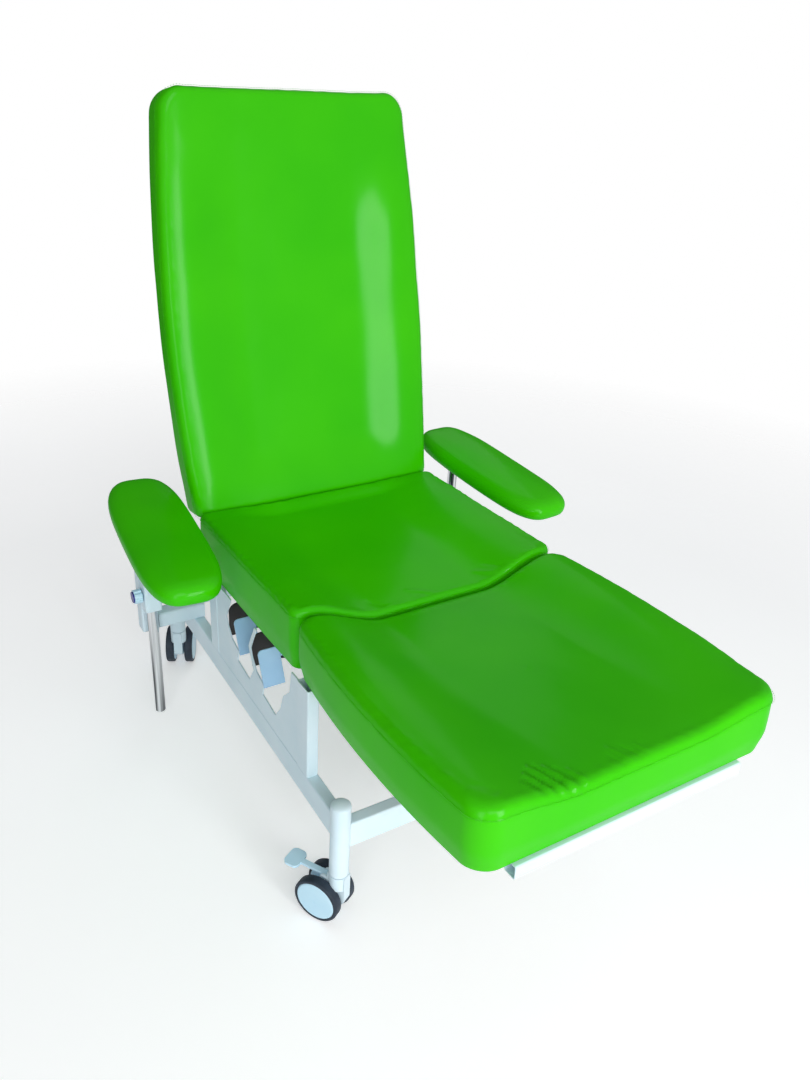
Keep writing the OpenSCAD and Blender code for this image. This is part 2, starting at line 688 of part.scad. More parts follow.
// Plates under the seat that carry the gas spring anchors and the inner ends of the lever shafts
mech_plate_t = 5;
mech_plate_x = 42;
mech_margin = 22;
shaft_d = 12;
anchor_pin_d = 10;
lever_axes = [[leg_lever_y, lever_axis_h], [back_lever_y, lever_axis_h]];
mech_plate_points = [[leg_anchor_y - mech_margin, anchor_h - mech_margin],
    [back_anchor_y + mech_margin, anchor_h - mech_margin], [back_anchor_y + mech_margin, seat_front_h],
    [leg_anchor_y - mech_margin, seat_front_h]];
module under_frame() {
    intersection() {
        children();
        on_seat() translate([-seat_w, -seat_l, -seat_front_h])
            cube([2 * seat_w, 3 * seat_l, seat_front_h + frame_low]);
    }
}
module mechanism_plates() {
    color(coat_white) placed() difference() {
        under_frame() for (side = [-1, 1])
            plate_yz(side * mech_plate_x - mech_plate_t / 2, mech_plate_t, mech_plate_points);
        for (p = [back_anchor, leg_anchor])
            bar_x(-mech_plate_x - mech_plate_t, mech_plate_x + mech_plate_t, p, anchor_pin_d);
        for (p = lever_axes)
            bar_x(-mech_plate_x - mech_plate_t, mech_plate_x + mech_plate_t, p, shaft_d + 2 * run_clear);
    }
}
anchor_head_t = 3;
module anchor_pins() {
    half = mech_plate_x + mech_plate_t / 2;
    color(zinc) placed() for (p = [back_anchor, leg_anchor]) {
        bar_x(-half, half, p, anchor_pin_d);
        bar_x(half, half + anchor_head_t, p, anchor_pin_d + 2 * anchor_head_t);
        bar_x(-half - anchor_head_t, -half, p, anchor_pin_d + 2 * anchor_head_t);
    }
}

// Folded brackets behind the left panel: a cheek on the seat frame that carries the outer end of a
// lever shaft, and a flange that the lever stops against
bracket_t = 4;
bracket_ahead = 13;
bracket_behind = 46;
bracket_round = 20;
cheek_drop = 13;
cheek_low_h = lever_axis_h - cheek_drop;
flange_rise = 26;
flange_top_h = lever_axis_h + flange_rise;
flange_low_share = 0.606;
flange_low_h = rail_top_h + flange_low_share * lever_room;
cheek_x = -frame_x - half_tube - bracket_t;
flange_x = -panel_x + 2 * move_gap;
module lever_bracket(p) {
    y1 = p[0] + bracket_behind;
    difference() {
        plate_yz(cheek_x, bracket_t, [[p[0] - bracket_ahead, cheek_low_h], [y1 + bracket_t, flange_low_h],
            [y1 + bracket_t, flange_top_h + bracket_round], [p[0] - bracket_ahead, flange_top_h + bracket_round]]);
        bar_x(cheek_x - over, cheek_x + bracket_t + over, p, shaft_d + 2 * run_clear);
    }
    translate([0, y1 + bracket_t, 0]) rotate([90, 0, 0]) linear_extrude(bracket_t)
        polygon(concat([[cheek_x + bracket_t, flange_low_h], [cheek_x + bracket_t, flange_top_h]],
            arc([flange_x + bracket_round, flange_top_h - bracket_round], bracket_round, 90, 180, 6),
            [[flange_x, flange_low_h]]));
}
module lever_brackets() {
    color(bracket_dark) placed() for (p = lever_axes) lever_bracket(p);
}

// Release levers: a paddle in the slot, a shaft in its bearings and a finger over the spring's valve
collar_d = 19;
lever_plate_t = 4;
lever_out = 4;
lever_w = 48;
lever_round = 10;
finger_w = 12;
finger_r = 25;
lever_x0 = -side_x - lever_out;
// Lower end of the paddles in shares of the room between the rails and the lever axes
lever_low_share = 0.585;
lever_low_h = rail_top_h + lever_low_share * lever_room;
lever_top_h = lever_axis_h + lever_rise;
module lever(p, gas_x) {
    weld = lever_plate_t / 4;
    low = (lever_low_h - p[1]) / cos(lever_lean);
    top = (lever_top_h - p[1]) / cos(lever_lean);
    translate([0, p[0], p[1]]) {
        bar_x(lever_x0 + 2 * lever_plate_t, cheek_x - move_gap, [0, 0], collar_d);
        bar_x(cheek_x - over, mech_plate_x + mech_plate_t / 2, [0, 0], shaft_d);
        bar_x(gas_x - finger_w / 2, gas_x + finger_w / 2, [0, 0], collar_d);
        rotate([-lever_lean, 0, 0]) translate([0, weld - collar_d / 2, 0]) rotate([90, 0, 0])
            linear_extrude(lever_plate_t) polygon(concat(
                [[lever_x0, low], [lever_x0 + lever_w, low], [lever_x0 + lever_w, top]],
                arc([lever_x0 + lever_round, top - lever_round], lever_round, 90, 180, 5)));
        translate([gas_x - finger_w / 2, -lever_plate_t / 2, -finger_r])
            cube([finger_w, lever_plate_t, finger_r]);
    }
}
module back_release_lever() { color(plastic_pale) placed() lever(lever_axes[1], back_gas_x); }
module leg_release_lever() { color(plastic_pale) placed() lever(lever_axes[0], leg_gas_x); }

// Gas springs, drawn along x from the anchor and turned into place
gas_head_d = 22;
gas_head_l = 44;
gas_head_step = 1.5;
gas_eye_t = 10;
gas_wall = 2;
gas_gland_l = 12;
gas_piston_l = 12;
gas_eye_r = 17;
gas_eye_hole_r = 12.5;
gas_neck = 26;
stub_d = 6;
stub_set_back = 9.5;
stub_h = 23;
module along(anchor, pin, x) {
    d = pin - anchor;
    translate([x, anchor[0], anchor[1]]) rotate([atan2(d[1], d[0]), 0, 0]) children();
}
// Length along +Y of the rod's own axes
module cyl_y(y0, y1, d) {
    translate([0, y0, 0]) rotate([-90, 0, 0]) cylinder(d = d, h = y1 - y0);
}
module gas_rod(rod_end) {
    difference() {
        union() {
            cyl_y(0, gas_head_l, gas_head_d - 2 * gas_head_step);
            rotate([0, 90, 0]) translate([0, 0, -gas_head_d / 2]) cylinder(d = gas_head_d, h = gas_head_d);
            cyl_y(gas_head_l - over, rod_end, gas_rod_d);
            cyl_y(rod_end - gas_piston_l, rod_end, gas_d - 2 * gas_wall - 2 * run_clear);
        }
        rotate([0, 90, 0]) translate([0, 0, -gas_d])
            cylinder(d = anchor_pin_d + 2 * run_clear, h = 2 * gas_d);
    }
}
// The body leaves room for the stroke, and the piston stands in the middle of its free travel
gas_head_gap = 13;
function gas_start(travel) = gas_head_l + gas_head_gap + travel;
function gas_rod_end(l, travel) =
    (gas_start(travel) + gas_gland_l + gas_piston_l + l - gas_neck - gas_wall - travel) / 2;
module gas_cylinder(l, travel) {
    start = gas_start(travel);
    difference() {
        union() {
            cyl_y(start, l - gas_neck, gas_d);
            cyl_y(l - gas_neck - over, l - gas_eye_hole_r - gas_wall, gas_rod_d + gas_wall);
            translate([-gas_eye_t / 2, l, 0]) rotate([0, 90, 0]) cylinder(r = gas_eye_r, h = gas_eye_t);
        }
        cyl_y(start - over, start + gas_gland_l + over, gas_rod_d + 2 * run_clear);
        cyl_y(start + gas_gland_l, l - gas_neck - gas_wall, gas_d - 2 * gas_wall);
        translate([-gas_eye_t, l, 0]) rotate([0, 90, 0]) cylinder(r = gas_eye_hole_r, h = 2 * gas_eye_t);
    }
}
back_gas_travel = 58;
leg_gas_travel = 48;
// Valve stub on a rod's head, upright behind the anchor pin
module valve_stub(anchor, x) {
    translate([x - stub_d / 2, anchor[0] + stub_set_back - stub_d / 2, anchor[1]])
        cube([stub_d, stub_d, stub_h]);
}
module back_gas_cylinder() {
    color(gas_black) placed() along(back_anchor, back_gas_pin, back_gas_x)
        gas_cylinder(back_gas_l, back_gas_travel);
}
module back_gas_rod() {
    color(chrome) placed() union() {
        along(back_anchor, back_gas_pin, back_gas_x) gas_rod(gas_rod_end(back_gas_l, back_gas_travel));
        valve_stub(back_anchor, back_gas_x);
    }
}
module leg_gas_cylinder() {
    color(gas_black) placed() along(leg_anchor, leg_gas_pin, leg_gas_x)
        gas_cylinder(leg_gas_l, leg_gas_travel);
}
module leg_gas_rod() {
    color(chrome) placed() union() {
        along(leg_anchor, leg_gas_pin, leg_gas_x) gas_rod(gas_rod_end(leg_gas_l, leg_gas_travel));
        valve_stub(leg_anchor, leg_gas_x);
    }
}

// Armrest brackets: an outrigger on the rail, an upright at its end and the sleeve for the post
outrigger_h = 40;
sleeve_y = arm_y;
outrigger_y = arm_y + sleeve_w;
screw_bore_d = 8;
knob_h = 385;
module arm_bracket() {
    difference() {
        union() {
            tube_x(track_x - rail_w / 2, arm_x - sleeve_w / 2, outrigger_y, rail_top_h + outrigger_h / 2,
                sleeve_w, outrigger_h, frame_wall);
            tube_z(arm_x, outrigger_y, rail_top_h, sleeve_top_h, sleeve_w, sleeve_w, frame_wall);
            translate([arm_x, sleeve_y, sleeve_low_h])
                linear_extrude(sleeve_top_h - sleeve_low_h)
                    polygon(round_rect(sleeve_w, sleeve_w, sleeve_w * tube_round_share));
        }
        translate([arm_x, sleeve_y, sleeve_low_h - over])
            cylinder(d = arm_post_d + 2 * run_clear, h = sleeve_top_h - sleeve_low_h + 2 * over);
        bar_x(arm_x, arm_x + sleeve_w, [sleeve_y, knob_h], screw_bore_d + 2 * run_clear);
    }
}
module arm_bracket_left() { color(coat_white) placed() mirrored(-1) arm_bracket(); }
module arm_bracket_right() { color(coat_white) placed() arm_bracket(); }

// Armrest posts with a rounded lower end
post_end_r = 4;
hub_d = 36;
hub_l = 34;
hub_roof = 4;
arm_post_cover = 10;
arm_post_top_h = arm_pad_h - arm_post_cover;
module arm_post() {
    translate([arm_x, arm_y, 0]) {
        translate([0, 0, arm_post_low_h + post_end_r])
            cylinder(d = arm_post_d, h = arm_post_top_h - arm_post_low_h - post_end_r);
        translate([0, 0, arm_post_low_h]) rotate_extrude()
            polygon(concat([[0, post_end_r], [0, 0]],
                arc([arm_post_d / 2 - post_end_r, post_end_r], post_end_r, -90, 0, 5)));
    }
}
module arm_post_left() { color(chrome) placed() mirrored(-1) arm_post(); }
module arm_post_right() { color(chrome) placed() arm_post(); }

// Swivel plates under the pads, with a hub that turns on the post
arm_plate_t = 4;
arm_plate_w = 90;
arm_plate_l = 300;
arm_plate_r = 20;
plate_back_share = 0.36;
module arm_axes() {
    translate([arm_x, arm_y, arm_pad_h]) rotate([0, 0, pad_splay]) children();
}
module pad_slope() { rotate([pad_fall, 0, 0]) children(); }
module arm_plate() {
    arm_axes() difference() {
        union() {
            pad_slope() translate([0, -pad_forward, -arm_plate_t])
                linear_extrude(arm_plate_t) polygon(round_rect(arm_plate_w, arm_plate_l, arm_plate_r));
            translate([0, 0, -hub_l]) cylinder(d = hub_d, h = hub_l - arm_plate_t / 2);
        }
        translate([0, 0, -hub_l - over])
            cylinder(d = arm_post_d + 2 * run_clear, h = hub_l + over + arm_post_top_h - arm_pad_h + move_gap);
        pad_slope() translate([-hub_d, -hub_d, 0]) cube(2 * hub_d);
    }
}
module arm_plate_left() { color(coat_white) placed() mirrored(-1) arm_plate(); }
module arm_plate_right() { color(coat_white) placed() arm_plate(); }

// Armrest pads: rings drawn in over a crowned top
pad_ring_points = 40;
pad_inset_shares = [0.10, 0.02, 0, 0.05, 0.16, 0.34];
pad_height_shares = [0, 0.16, 0.5, 0.76, 0.92, 1];
pad_crown = 5;
pad_top_shares = [0.8, 0.5];
pad_power = 3.4;
function pad_point(i, inset, h, k) =
    let (a = 360 * i / pad_ring_points, rx = pad_w / 2 - inset * pad_t, ry = pad_l / 2 - inset * pad_t)
    [k * rx * sgn_pow(cos(a), 2 / pad_power), k * ry * sgn_pow(sin(a), 2 / pad_power),
        h * (pad_t - pad_crown) + (k < 1 ? pad_crown * (1 - k * k) : 0)];
module pad_form() {
    n = pad_ring_points;
    rings = concat([for (j = [0:len(pad_inset_shares) - 1]) [pad_inset_shares[j], pad_height_shares[j], 1]],
        [for (k = pad_top_shares) [pad_inset_shares[len(pad_inset_shares) - 1], 1, k]]);
    last = len(rings) - 1;
    points = concat([for (r = rings, i = [0:n - 1]) pad_point(i, r[0], r[1], r[2])],
        [[0, 0, 0], [0, 0, pad_t]]);
    faces = concat(
        [for (j = [0:last - 1], i = [0:n - 1]) [j * n + i, (j + 1) * n + i, (j + 1) * n + (i + 1) % n]],
        [for (j = [0:last - 1], i = [0:n - 1]) [j * n + i, (j + 1) * n + (i + 1) % n, j * n + (i + 1) % n]],
        [for (i = [0:n - 1]) [i, (i + 1) % n, (last + 1) * n]],
        [for (i = [0:n - 1]) [last * n + (i + 1) % n, last * n + i, (last + 1) * n + 1]]);
    polyhedron(points = points, faces = faces);
}
module arm_pad() { arm_axes() pad_slope() translate([0, -pad_forward, 0]) pad_form(); }
module arm_pad_left() { color(vinyl_green) placed() mirrored(-1) arm_pad(); }
module arm_pad_right() { color(vinyl_green) placed() arm_pad(); }

// Clamp knobs on the sleeves, with a coloured cap
knob_d = 34;
knob_t = 18;
knob_lobes = 6;
knob_lobe_d = 9;
knob_cap_d = 27;
knob_cap_t = 3;
knob_stand = 3;
knob_x = arm_x + sleeve_w / 2 + knob_stand;
module clamp_knob() {
    p = [arm_y, knob_h];
    difference() {
        union() {
            bar_x(knob_x, knob_x + knob_t, p, knob_d);
            bar_x(arm_x + arm_post_d / 2 + move_gap, knob_x + over, p, screw_bore_d);
        }
        for (i = [1:knob_lobes]) let (a = 360 * i / knob_lobes)
            bar_x(knob_x - over, knob_x + knob_t + over,
                p + (knob_d / 2 + knob_lobe_d / 4) * [cos(a), sin(a)], knob_lobe_d);
    }
}
module knob_cap() {
    bar_x(knob_x + knob_t, knob_x + knob_t + knob_cap_t, [arm_y, knob_h], knob_cap_d);
}
module clamp_knob_left() { color(plastic_pale) placed() mirrored(-1) clamp_knob(); }
module clamp_knob_right() { color(plastic_pale) placed() clamp_knob(); }
module knob_cap_left() { color(cap_blue) placed() mirrored(-1) knob_cap(); }
module knob_cap_right() { color(cap_blue) placed() knob_cap(); }

// Casters, drawn with their trail along +Y and turned about the stem
wheel_r = wheel_d / 2;
axle_d = 10;
tyre_t = 6.5;
rim_d = wheel_d - 2 * tyre_t;
wheel_side_gap = 2;
housing_w = wheel_spacing - tyre_w - 2 * wheel_side_gap;
tyre_round = 4;
neck_d = corner_d;
neck_low_h = 84;
boss_r = 15;
heel_r = 16;
heel_rise = 8;
shoulder_step = 2;
// Side outline of the housing between the wheels
housing_points = concat(
    [[neck_d / 2, neck_low_h], [neck_d / 2, caster_top_h - shoulder_step],
        [-neck_d / 2, caster_top_h - shoulder_step]],
    arc([heel_r - neck_d / 2, wheel_r + heel_rise], heel_r, 180, 262, 6),
    arc([caster_trail, wheel_r], boss_r, 250, 395, 8));
pedal_pivot = [29, 94];
pedal_t = 6;
pedal_arm_w = 12;
pedal_pin_d = 6;
pedal_lug_r = 7;
pedal_ear_r = 9;
pedal_tread_l = 34;
pedal_round = 10;
module caster_place(k) {
    y = k < 2 ? -front_tube_y : rear_tube_y;
    side = k % 2 == 0 ? -1 : 1;
    placed() translate([side * track_x, y, 0]) rotate([0, 0, caster_turns[k]]) children();
}
module caster_housing(k) {
    caster_place(k) difference() {
        union() {
            translate([0, 0, neck_low_h]) cylinder(d = neck_d, h = caster_top_h - neck_low_h);
            plate_yz(-housing_w / 2, housing_w, housing_points);
            plate_yz(-housing_w / 2, housing_w, concat([[0, neck_low_h], [0, pedal_pivot[1] + pedal_ear_r]],
                arc(pedal_pivot, pedal_ear_r, 90, -80, 8)));
        }
        translate([0, 0, caster_top_h - king_l - move_gap])
            cylinder(d = king_d + 2 * run_clear, h = king_l + move_gap + over);
        bar_x(-housing_w, housing_w, [caster_trail, wheel_r], axle_d + 2 * run_clear);
        // room for the wheels beside the housing
        for (side = [-1, 1]) mirrored(side)
            bar_x(housing_w / 2, neck_d, [caster_trail, wheel_r], wheel_d + 4 * move_gap);
        // slot and cross hole for the brake pedal
        translate([-pedal_arm_w / 2 - move_gap, pedal_pivot[0] - pedal_lug_r - 2 * move_gap,
            pedal_pivot[1] - pedal_lug_r - 4 * move_gap]) cube([pedal_arm_w + 2 * move_gap, wheel_d, wheel_d]);
        bar_x(-housing_w, housing_w, pedal_pivot, pedal_pin_d + 2 * run_clear);
    }
}
module caster_wheels(k) {
    caster_place(k) {
        bar_x(-wheel_spacing / 2, wheel_spacing / 2, [caster_trail, wheel_r], axle_d);
        for (side = [-1, 1]) mirrored(side)
            translate([(wheel_spacing - tyre_w) / 2 + 2 * move_gap, caster_trail, wheel_r]) rotate([0, 90, 0])
                rotate_extrude() polygon(concat([[0, 0], [rim_d / 2, 0], [rim_d / 2, tyre_w - tyre_round]],
                    arc([rim_d / 2 - tyre_round, tyre_w - tyre_round], tyre_round, 0, 90, 4),
                    [[0, tyre_w + 2 * move_gap]]));
    }
}
module caster_tyres(k) {
    caster_place(k) for (side = [-1, 1]) mirrored(side)
        translate([(wheel_spacing - tyre_w) / 2 + 2 * move_gap, caster_trail, wheel_r]) rotate([0, 90, 0])
            rotate_extrude() polygon(concat([[rim_d / 2, 0]],
                arc([wheel_r - tyre_round, tyre_round], tyre_round, -90, 0, 4),
                arc([wheel_r - tyre_round, tyre_w - tyre_round - move_gap], tyre_round, 0, 90, 4),
                [[rim_d / 2, tyre_w - move_gap]]));
}
module brake_pedal(k) {
    arm_end = pedal_reach - pedal_tread_l;
    caster_place(k) {
        translate([-pedal_arm_w / 2, pedal_pivot[0], pedal_pivot[1]]) rotate([0, 90, 0])
            cylinder(r = pedal_lug_r, h = pedal_arm_w);
        bar_x(-housing_w / 2, housing_w / 2, pedal_pivot, pedal_pin_d);
        translate([-pedal_arm_w / 2, pedal_pivot[0], pedal_pivot[1] + pedal_lug_r - pedal_t])
            cube([pedal_arm_w, arm_end - pedal_pivot[0] + pedal_round, pedal_t]);
        translate([0, pedal_reach - pedal_tread_l / 2, pedal_pivot[1] + pedal_lug_r - pedal_t])
            linear_extrude(pedal_t) polygon(round_rect(pedal_w, pedal_tread_l, pedal_round));
    }
}
module caster_housing_front_left() { color(coat_white) caster_housing(0); }
module caster_housing_front_right() { color(coat_white) caster_housing(1); }
module caster_housing_rear_left() { color(coat_white) caster_housing(2); }
module caster_housing_rear_right() { color(coat_white) caster_housing(3); }
module caster_wheels_front_left() { color(plastic_pale) caster_wheels(0); }
module caster_wheels_front_right() { color(plastic_pale) caster_wheels(1); }
module caster_wheels_rear_left() { color(plastic_pale) caster_wheels(2); }
module caster_wheels_rear_right() { color(plastic_pale) caster_wheels(3); }
module caster_tyres_front_left() { color(tyre_dark) caster_tyres(0); }
module caster_tyres_front_right() { color(tyre_dark) caster_tyres(1); }
module caster_tyres_rear_left() { color(tyre_dark) caster_tyres(2); }
module caster_tyres_rear_right() { color(tyre_dark) caster_tyres(3); }
module brake_pedal_front_left() { color(plastic_pale) brake_pedal(0); }
module brake_pedal_front_right() { color(plastic_pale) brake_pedal(1); }
module brake_pedal_rear_left() { color(plastic_pale) brake_pedal(2); }
module brake_pedal_rear_right() { color(plastic_pale) brake_pedal(3); }

side_rail_left();
side_rail_right();
front_crossbar();
rear_crossbar();
corner_tubes();
caster_stems();
frame_posts();
side_panel_left();
side_panel_right();
seat_frame();
seat_board();
seat_cushion();
board_screws();
hinge_brackets();
hinge_pins();
mechanism_plates();
anchor_pins();
lever_brackets();
arm_bracket_left();
arm_bracket_right();
back_frame();
back_board();
back_cushion();
back_lugs();
leg_frame();
leg_board();
leg_cushion();
leg_lugs();
arm_post_left();
arm_post_right();
arm_plate_left();
arm_plate_right();
arm_pad_left();
arm_pad_right();
clamp_knob_left();
clamp_knob_right();
knob_cap_left();
knob_cap_right();
back_release_lever();
leg_release_lever();
back_gas_cylinder();
back_gas_rod();
leg_gas_cylinder();
leg_gas_rod();
caster_housing_front_left();
caster_wheels_front_left();
caster_tyres_front_left();
brake_pedal_front_left();
caster_housing_front_right();
caster_wheels_front_right();
caster_tyres_front_right();
brake_pedal_front_right();
caster_housing_rear_left();
caster_wheels_rear_left();
caster_tyres_rear_left();
brake_pedal_rear_left();
caster_housing_rear_right();
caster_wheels_rear_right();
caster_tyres_rear_right();
brake_pedal_rear_right();
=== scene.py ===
import json
import math

import bpy
import numpy as np
from mathutils import Matrix, Vector


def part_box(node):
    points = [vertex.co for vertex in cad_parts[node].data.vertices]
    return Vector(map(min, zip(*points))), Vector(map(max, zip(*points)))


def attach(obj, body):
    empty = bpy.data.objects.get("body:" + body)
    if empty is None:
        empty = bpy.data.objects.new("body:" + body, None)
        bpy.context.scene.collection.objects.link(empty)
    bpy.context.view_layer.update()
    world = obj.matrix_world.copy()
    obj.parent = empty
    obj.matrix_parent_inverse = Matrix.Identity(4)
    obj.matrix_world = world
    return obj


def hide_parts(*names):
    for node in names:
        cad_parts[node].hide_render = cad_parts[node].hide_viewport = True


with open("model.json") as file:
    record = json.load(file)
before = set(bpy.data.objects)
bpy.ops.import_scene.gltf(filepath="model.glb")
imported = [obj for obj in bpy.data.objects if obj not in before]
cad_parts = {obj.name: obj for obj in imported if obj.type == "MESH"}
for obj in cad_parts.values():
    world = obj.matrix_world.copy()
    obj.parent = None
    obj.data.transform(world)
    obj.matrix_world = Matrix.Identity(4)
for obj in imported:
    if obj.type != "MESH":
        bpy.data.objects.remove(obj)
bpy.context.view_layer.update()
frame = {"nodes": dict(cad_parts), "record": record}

# Places

# Everything is laid out from the seat's front top edge, as in the part's source.
# SHIFT is that edge's Y, SEAT_BEHIND further back than the front of the posts, and SEAT_H is its Z.
SEAT_BEHIND = 0.063
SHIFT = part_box("frame_posts")[0].y + SEAT_BEHIND
SEAT_H = 0.612
TILT = math.radians(2.4)
LEAN = math.radians(11.2)
SEAT_L, SEAT_W, SEAT_T = 0.508, 0.620, 0.135
SEAT_MID = SEAT_W + 0.004
LEG_L, LEG_W, LEG_MID, LEG_T, LEG_GAP = 0.602, 0.624, 0.664, 0.124, 0.003
BACK_H, BACK_DROP, BACK_T, BACK_GAP = 0.890, 0.022, 0.100, 0.004
BACK_LOW, BACK_MID, BACK_TOP = 0.620, 0.646, 0.568
PAD_W, PAD_L = 0.167, 0.489
PAD_X, PAD_Y, PAD_Z, PAD_SPLAY, PAD_FALL = 0.420, 0.552, 0.596, math.radians(3.5), math.radians(3.4)
ON_SEAT = Matrix.Translation((0, SHIFT, SEAT_H)) @ Matrix.Rotation(-TILT, 4, "X")
ON_BACK = (Matrix.Translation((0, SHIFT + SEAT_L * math.cos(TILT) + BACK_GAP,
                               SEAT_H - SEAT_L * math.sin(TILT)))
           @ Matrix.Rotation(-LEAN, 4, "X"))


def on_arm(side):
    """The place and direction of an armrest, for side -1 or 1."""
    return (Matrix.Translation((side * PAD_X, SHIFT + PAD_Y, PAD_Z))
            @ Matrix.Rotation(PAD_SPLAY * side, 4, "Z") @ Matrix.Rotation(PAD_FALL, 4, "X"))


# Camera

# Solved from the photograph: angles in radians, place in metres, and the focal length in pixels
# of the photograph's height.
CAM_YAW, CAM_PITCH, CAM_ROLL = 0.5742, 0.4909, 0.0653
CAM_PLACE = (-0.9179, -1.3019 + SHIFT, 1.5478)
CAM_FOCAL, PHOTO_H, SENSOR = 917.46, 1080, 36


def make_camera():
    yaw, pitch, roll = CAM_YAW, CAM_PITCH, CAM_ROLL
    d = Vector((math.sin(yaw) * math.cos(pitch), math.cos(yaw) * math.cos(pitch), -math.sin(pitch)))
    r = Vector((math.cos(yaw), -math.sin(yaw), 0))
    u = r.cross(d)
    r2 = r * math.cos(roll) + u * math.sin(roll)
    u2 = -r * math.sin(roll) + u * math.cos(roll)
    data = bpy.data.cameras.new("camera")
    data.sensor_width = SENSOR
    data.sensor_fit = "AUTO"
    data.lens = CAM_FOCAL / PHOTO_H * SENSOR
    data.clip_start, data.clip_end = 0.05, 60
    cam = bpy.data.objects.new("camera", data)
    bpy.context.scene.collection.objects.link(cam)
    m = Matrix((r2, u2, -d)).transposed().to_4x4()
    m.translation = Vector(CAM_PLACE)
    cam.matrix_world = m
    bpy.context.scene.camera = cam


make_camera()


# Materials


def linear(c):
    """The linear colour, with alpha, of an sRGB colour."""
    return tuple(v / 12.92 if v <= 0.04045 else ((v + 0.055) / 1.055) ** 2.4 for v in c) + (1,)


class Nodes:
    """Helpers for the nodes of a material or the world."""

    def __init__(self, tree):
        self.nodes, self.links = tree.nodes, tree.links

    def node(self, kind, **values):
        n = self.nodes.new("ShaderNode" + kind)
        for k, v in values.items():
            if k in n.inputs:
                n.inputs[k].default_value = v
            else:
                setattr(n, k, v)
        return n

    def link(self, a, b):
        self.links.new(a, b)

    def span(self, value, a0, a1, b0, b1):
        n = self.node("MapRange")
        for k, v in (("From Min", a0), ("From Max", a1), ("To Min", b0), ("To Max", b1)):
            n.inputs[k].default_value = v
        self.link(value, n.inputs["Value"])
        return n.outputs["Result"]

    def highest(self, a, b):
        n = self.node("Math", operation="MAXIMUM")
        self.link(a, n.inputs[0])
        self.link(b, n.inputs[1])
        return n.outputs[0]

    def mixed(self, share, first, second):
        n = self.node("MixShader")
        self.link(share, n.inputs["Fac"])
        self.link(first, n.inputs[1])
        self.link(second, n.inputs[2])
        return n.outputs[0]

    def seen_rays(self):
        """1 for a ray from the camera, off a mirror or through glass, 0 for the light on a surface."""
        path = self.node("LightPath")
        last = path.outputs["Is Camera Ray"]
        for other in ("Is Glossy Ray", "Is Transmission Ray"):
            last = self.highest(last, path.outputs[other])
        return last


class Shader(Nodes):
    """A principled material."""

    def __init__(self, name, **sockets):
        self.mat = bpy.data.materials.new(name)
        self.mat.use_nodes = True
        super().__init__(self.mat.node_tree)
        self.bsdf = self.nodes["Principled BSDF"]
        for k, v in sockets.items():
            self.bsdf.inputs[k.replace("_", " ")].default_value = v
        self.coords = self.node("TexCoord").outputs["Object"]

    def noise(self, scale, detail, rough, coords=None):
        n = self.node("TexNoise")
        n.inputs["Scale"].default_value = scale
        n.inputs["Detail"].default_value = detail
        n.inputs["Roughness"].default_value = rough
        self.link(coords or self.coords, n.inputs["Vector"])
        return n.outputs["Fac"]

    def stretched(self, sx, sy, sz):
        n = self.node("Mapping")
        n.inputs["Scale"].default_value = (sx, sy, sz)
        self.link(self.coords, n.inputs["Vector"])
        return n.outputs["Vector"]

    def ramp(self, value, low, high, at):
        n = self.node("ValToRGB")
        n.color_ramp.elements[0].position, n.color_ramp.elements[1].position = at
        n.color_ramp.elements[0].color, n.color_ramp.elements[1].color = low, high
        self.link(value, n.inputs["Fac"])
        return n.outputs["Color"]

    def color(self, value):
        self.link(value, self.bsdf.inputs["Base Color"])

    def rough(self, value):
        self.link(value, self.bsdf.inputs["Roughness"])

    def bump(self, height, distance, strength, after=None, edge=0.0):
        """Unevenness over the normal of an earlier bump, or over edges rounded by the given radius."""
        if edge:
            soft_edge = self.node("Bevel", samples=4)
            soft_edge.inputs["Radius"].default_value = edge
            after = soft_edge.outputs["Normal"]
        n = self.node("Bump")
        n.inputs["Strength"].default_value = strength
        n.inputs["Distance"].default_value = distance
        self.link(height, n.inputs["Height"])
        if after is not None:
            self.link(after, n.inputs["Normal"])
        self.link(n.outputs["Normal"], self.bsdf.inputs["Normal"])
        return n.outputs["Normal"]


def vinyl():
    s = Shader("green_vinyl", Specular_IOR_Level=0.02, Specular_Tint=(0.12, 0.9, 0.01, 1), Coat_IOR=1.8,
               Coat_Weight=0.15, Coat_Roughness=0.20)
    s.color(s.ramp(s.noise(4.0, 2, 0.5), linear((0.215, 0.755, 0.0)), linear((0.245, 0.78, 0.0)),
                   (0.35, 0.65)))
    s.rough(s.span(s.noise(30, 3, 0.6), 0.3, 0.7, 0.34, 0.42))
    grain = s.bump(s.noise(1500, 1, 0.5), 0.00010, 0.5)
    s.bump(s.noise(34, 2, 0.5), 0.0004, 0.25, grain)
    return s.mat


def powder(name, low, high, rough=(0.34, 0.46)):
    s = Shader(name, Specular_IOR_Level=0.5)
    s.color(s.ramp(s.noise(9, 3, 0.5), linear(low), linear(high), (0.35, 0.65)))
    s.rough(s.span(s.noise(25, 3, 0.5), 0.3, 0.7, *rough))
    s.bump(s.noise(900, 2, 0.5), 0.00008, 0.5, edge=0.0015)
    return s.mat


def metal(name, tint, rough):
    s = Shader(name, Metallic=1.0)
    s.color(s.ramp(s.noise(14, 3, 0.5), linear([t * 0.94 for t in tint]), linear(tint), (0.35, 0.65)))
    s.rough(s.span(s.noise(200, 3, 0.6), 0.3, 0.7, *rough))
    s.bump(s.noise(200, 2, 0.5), 0.00002, 0.4)
    return s.mat


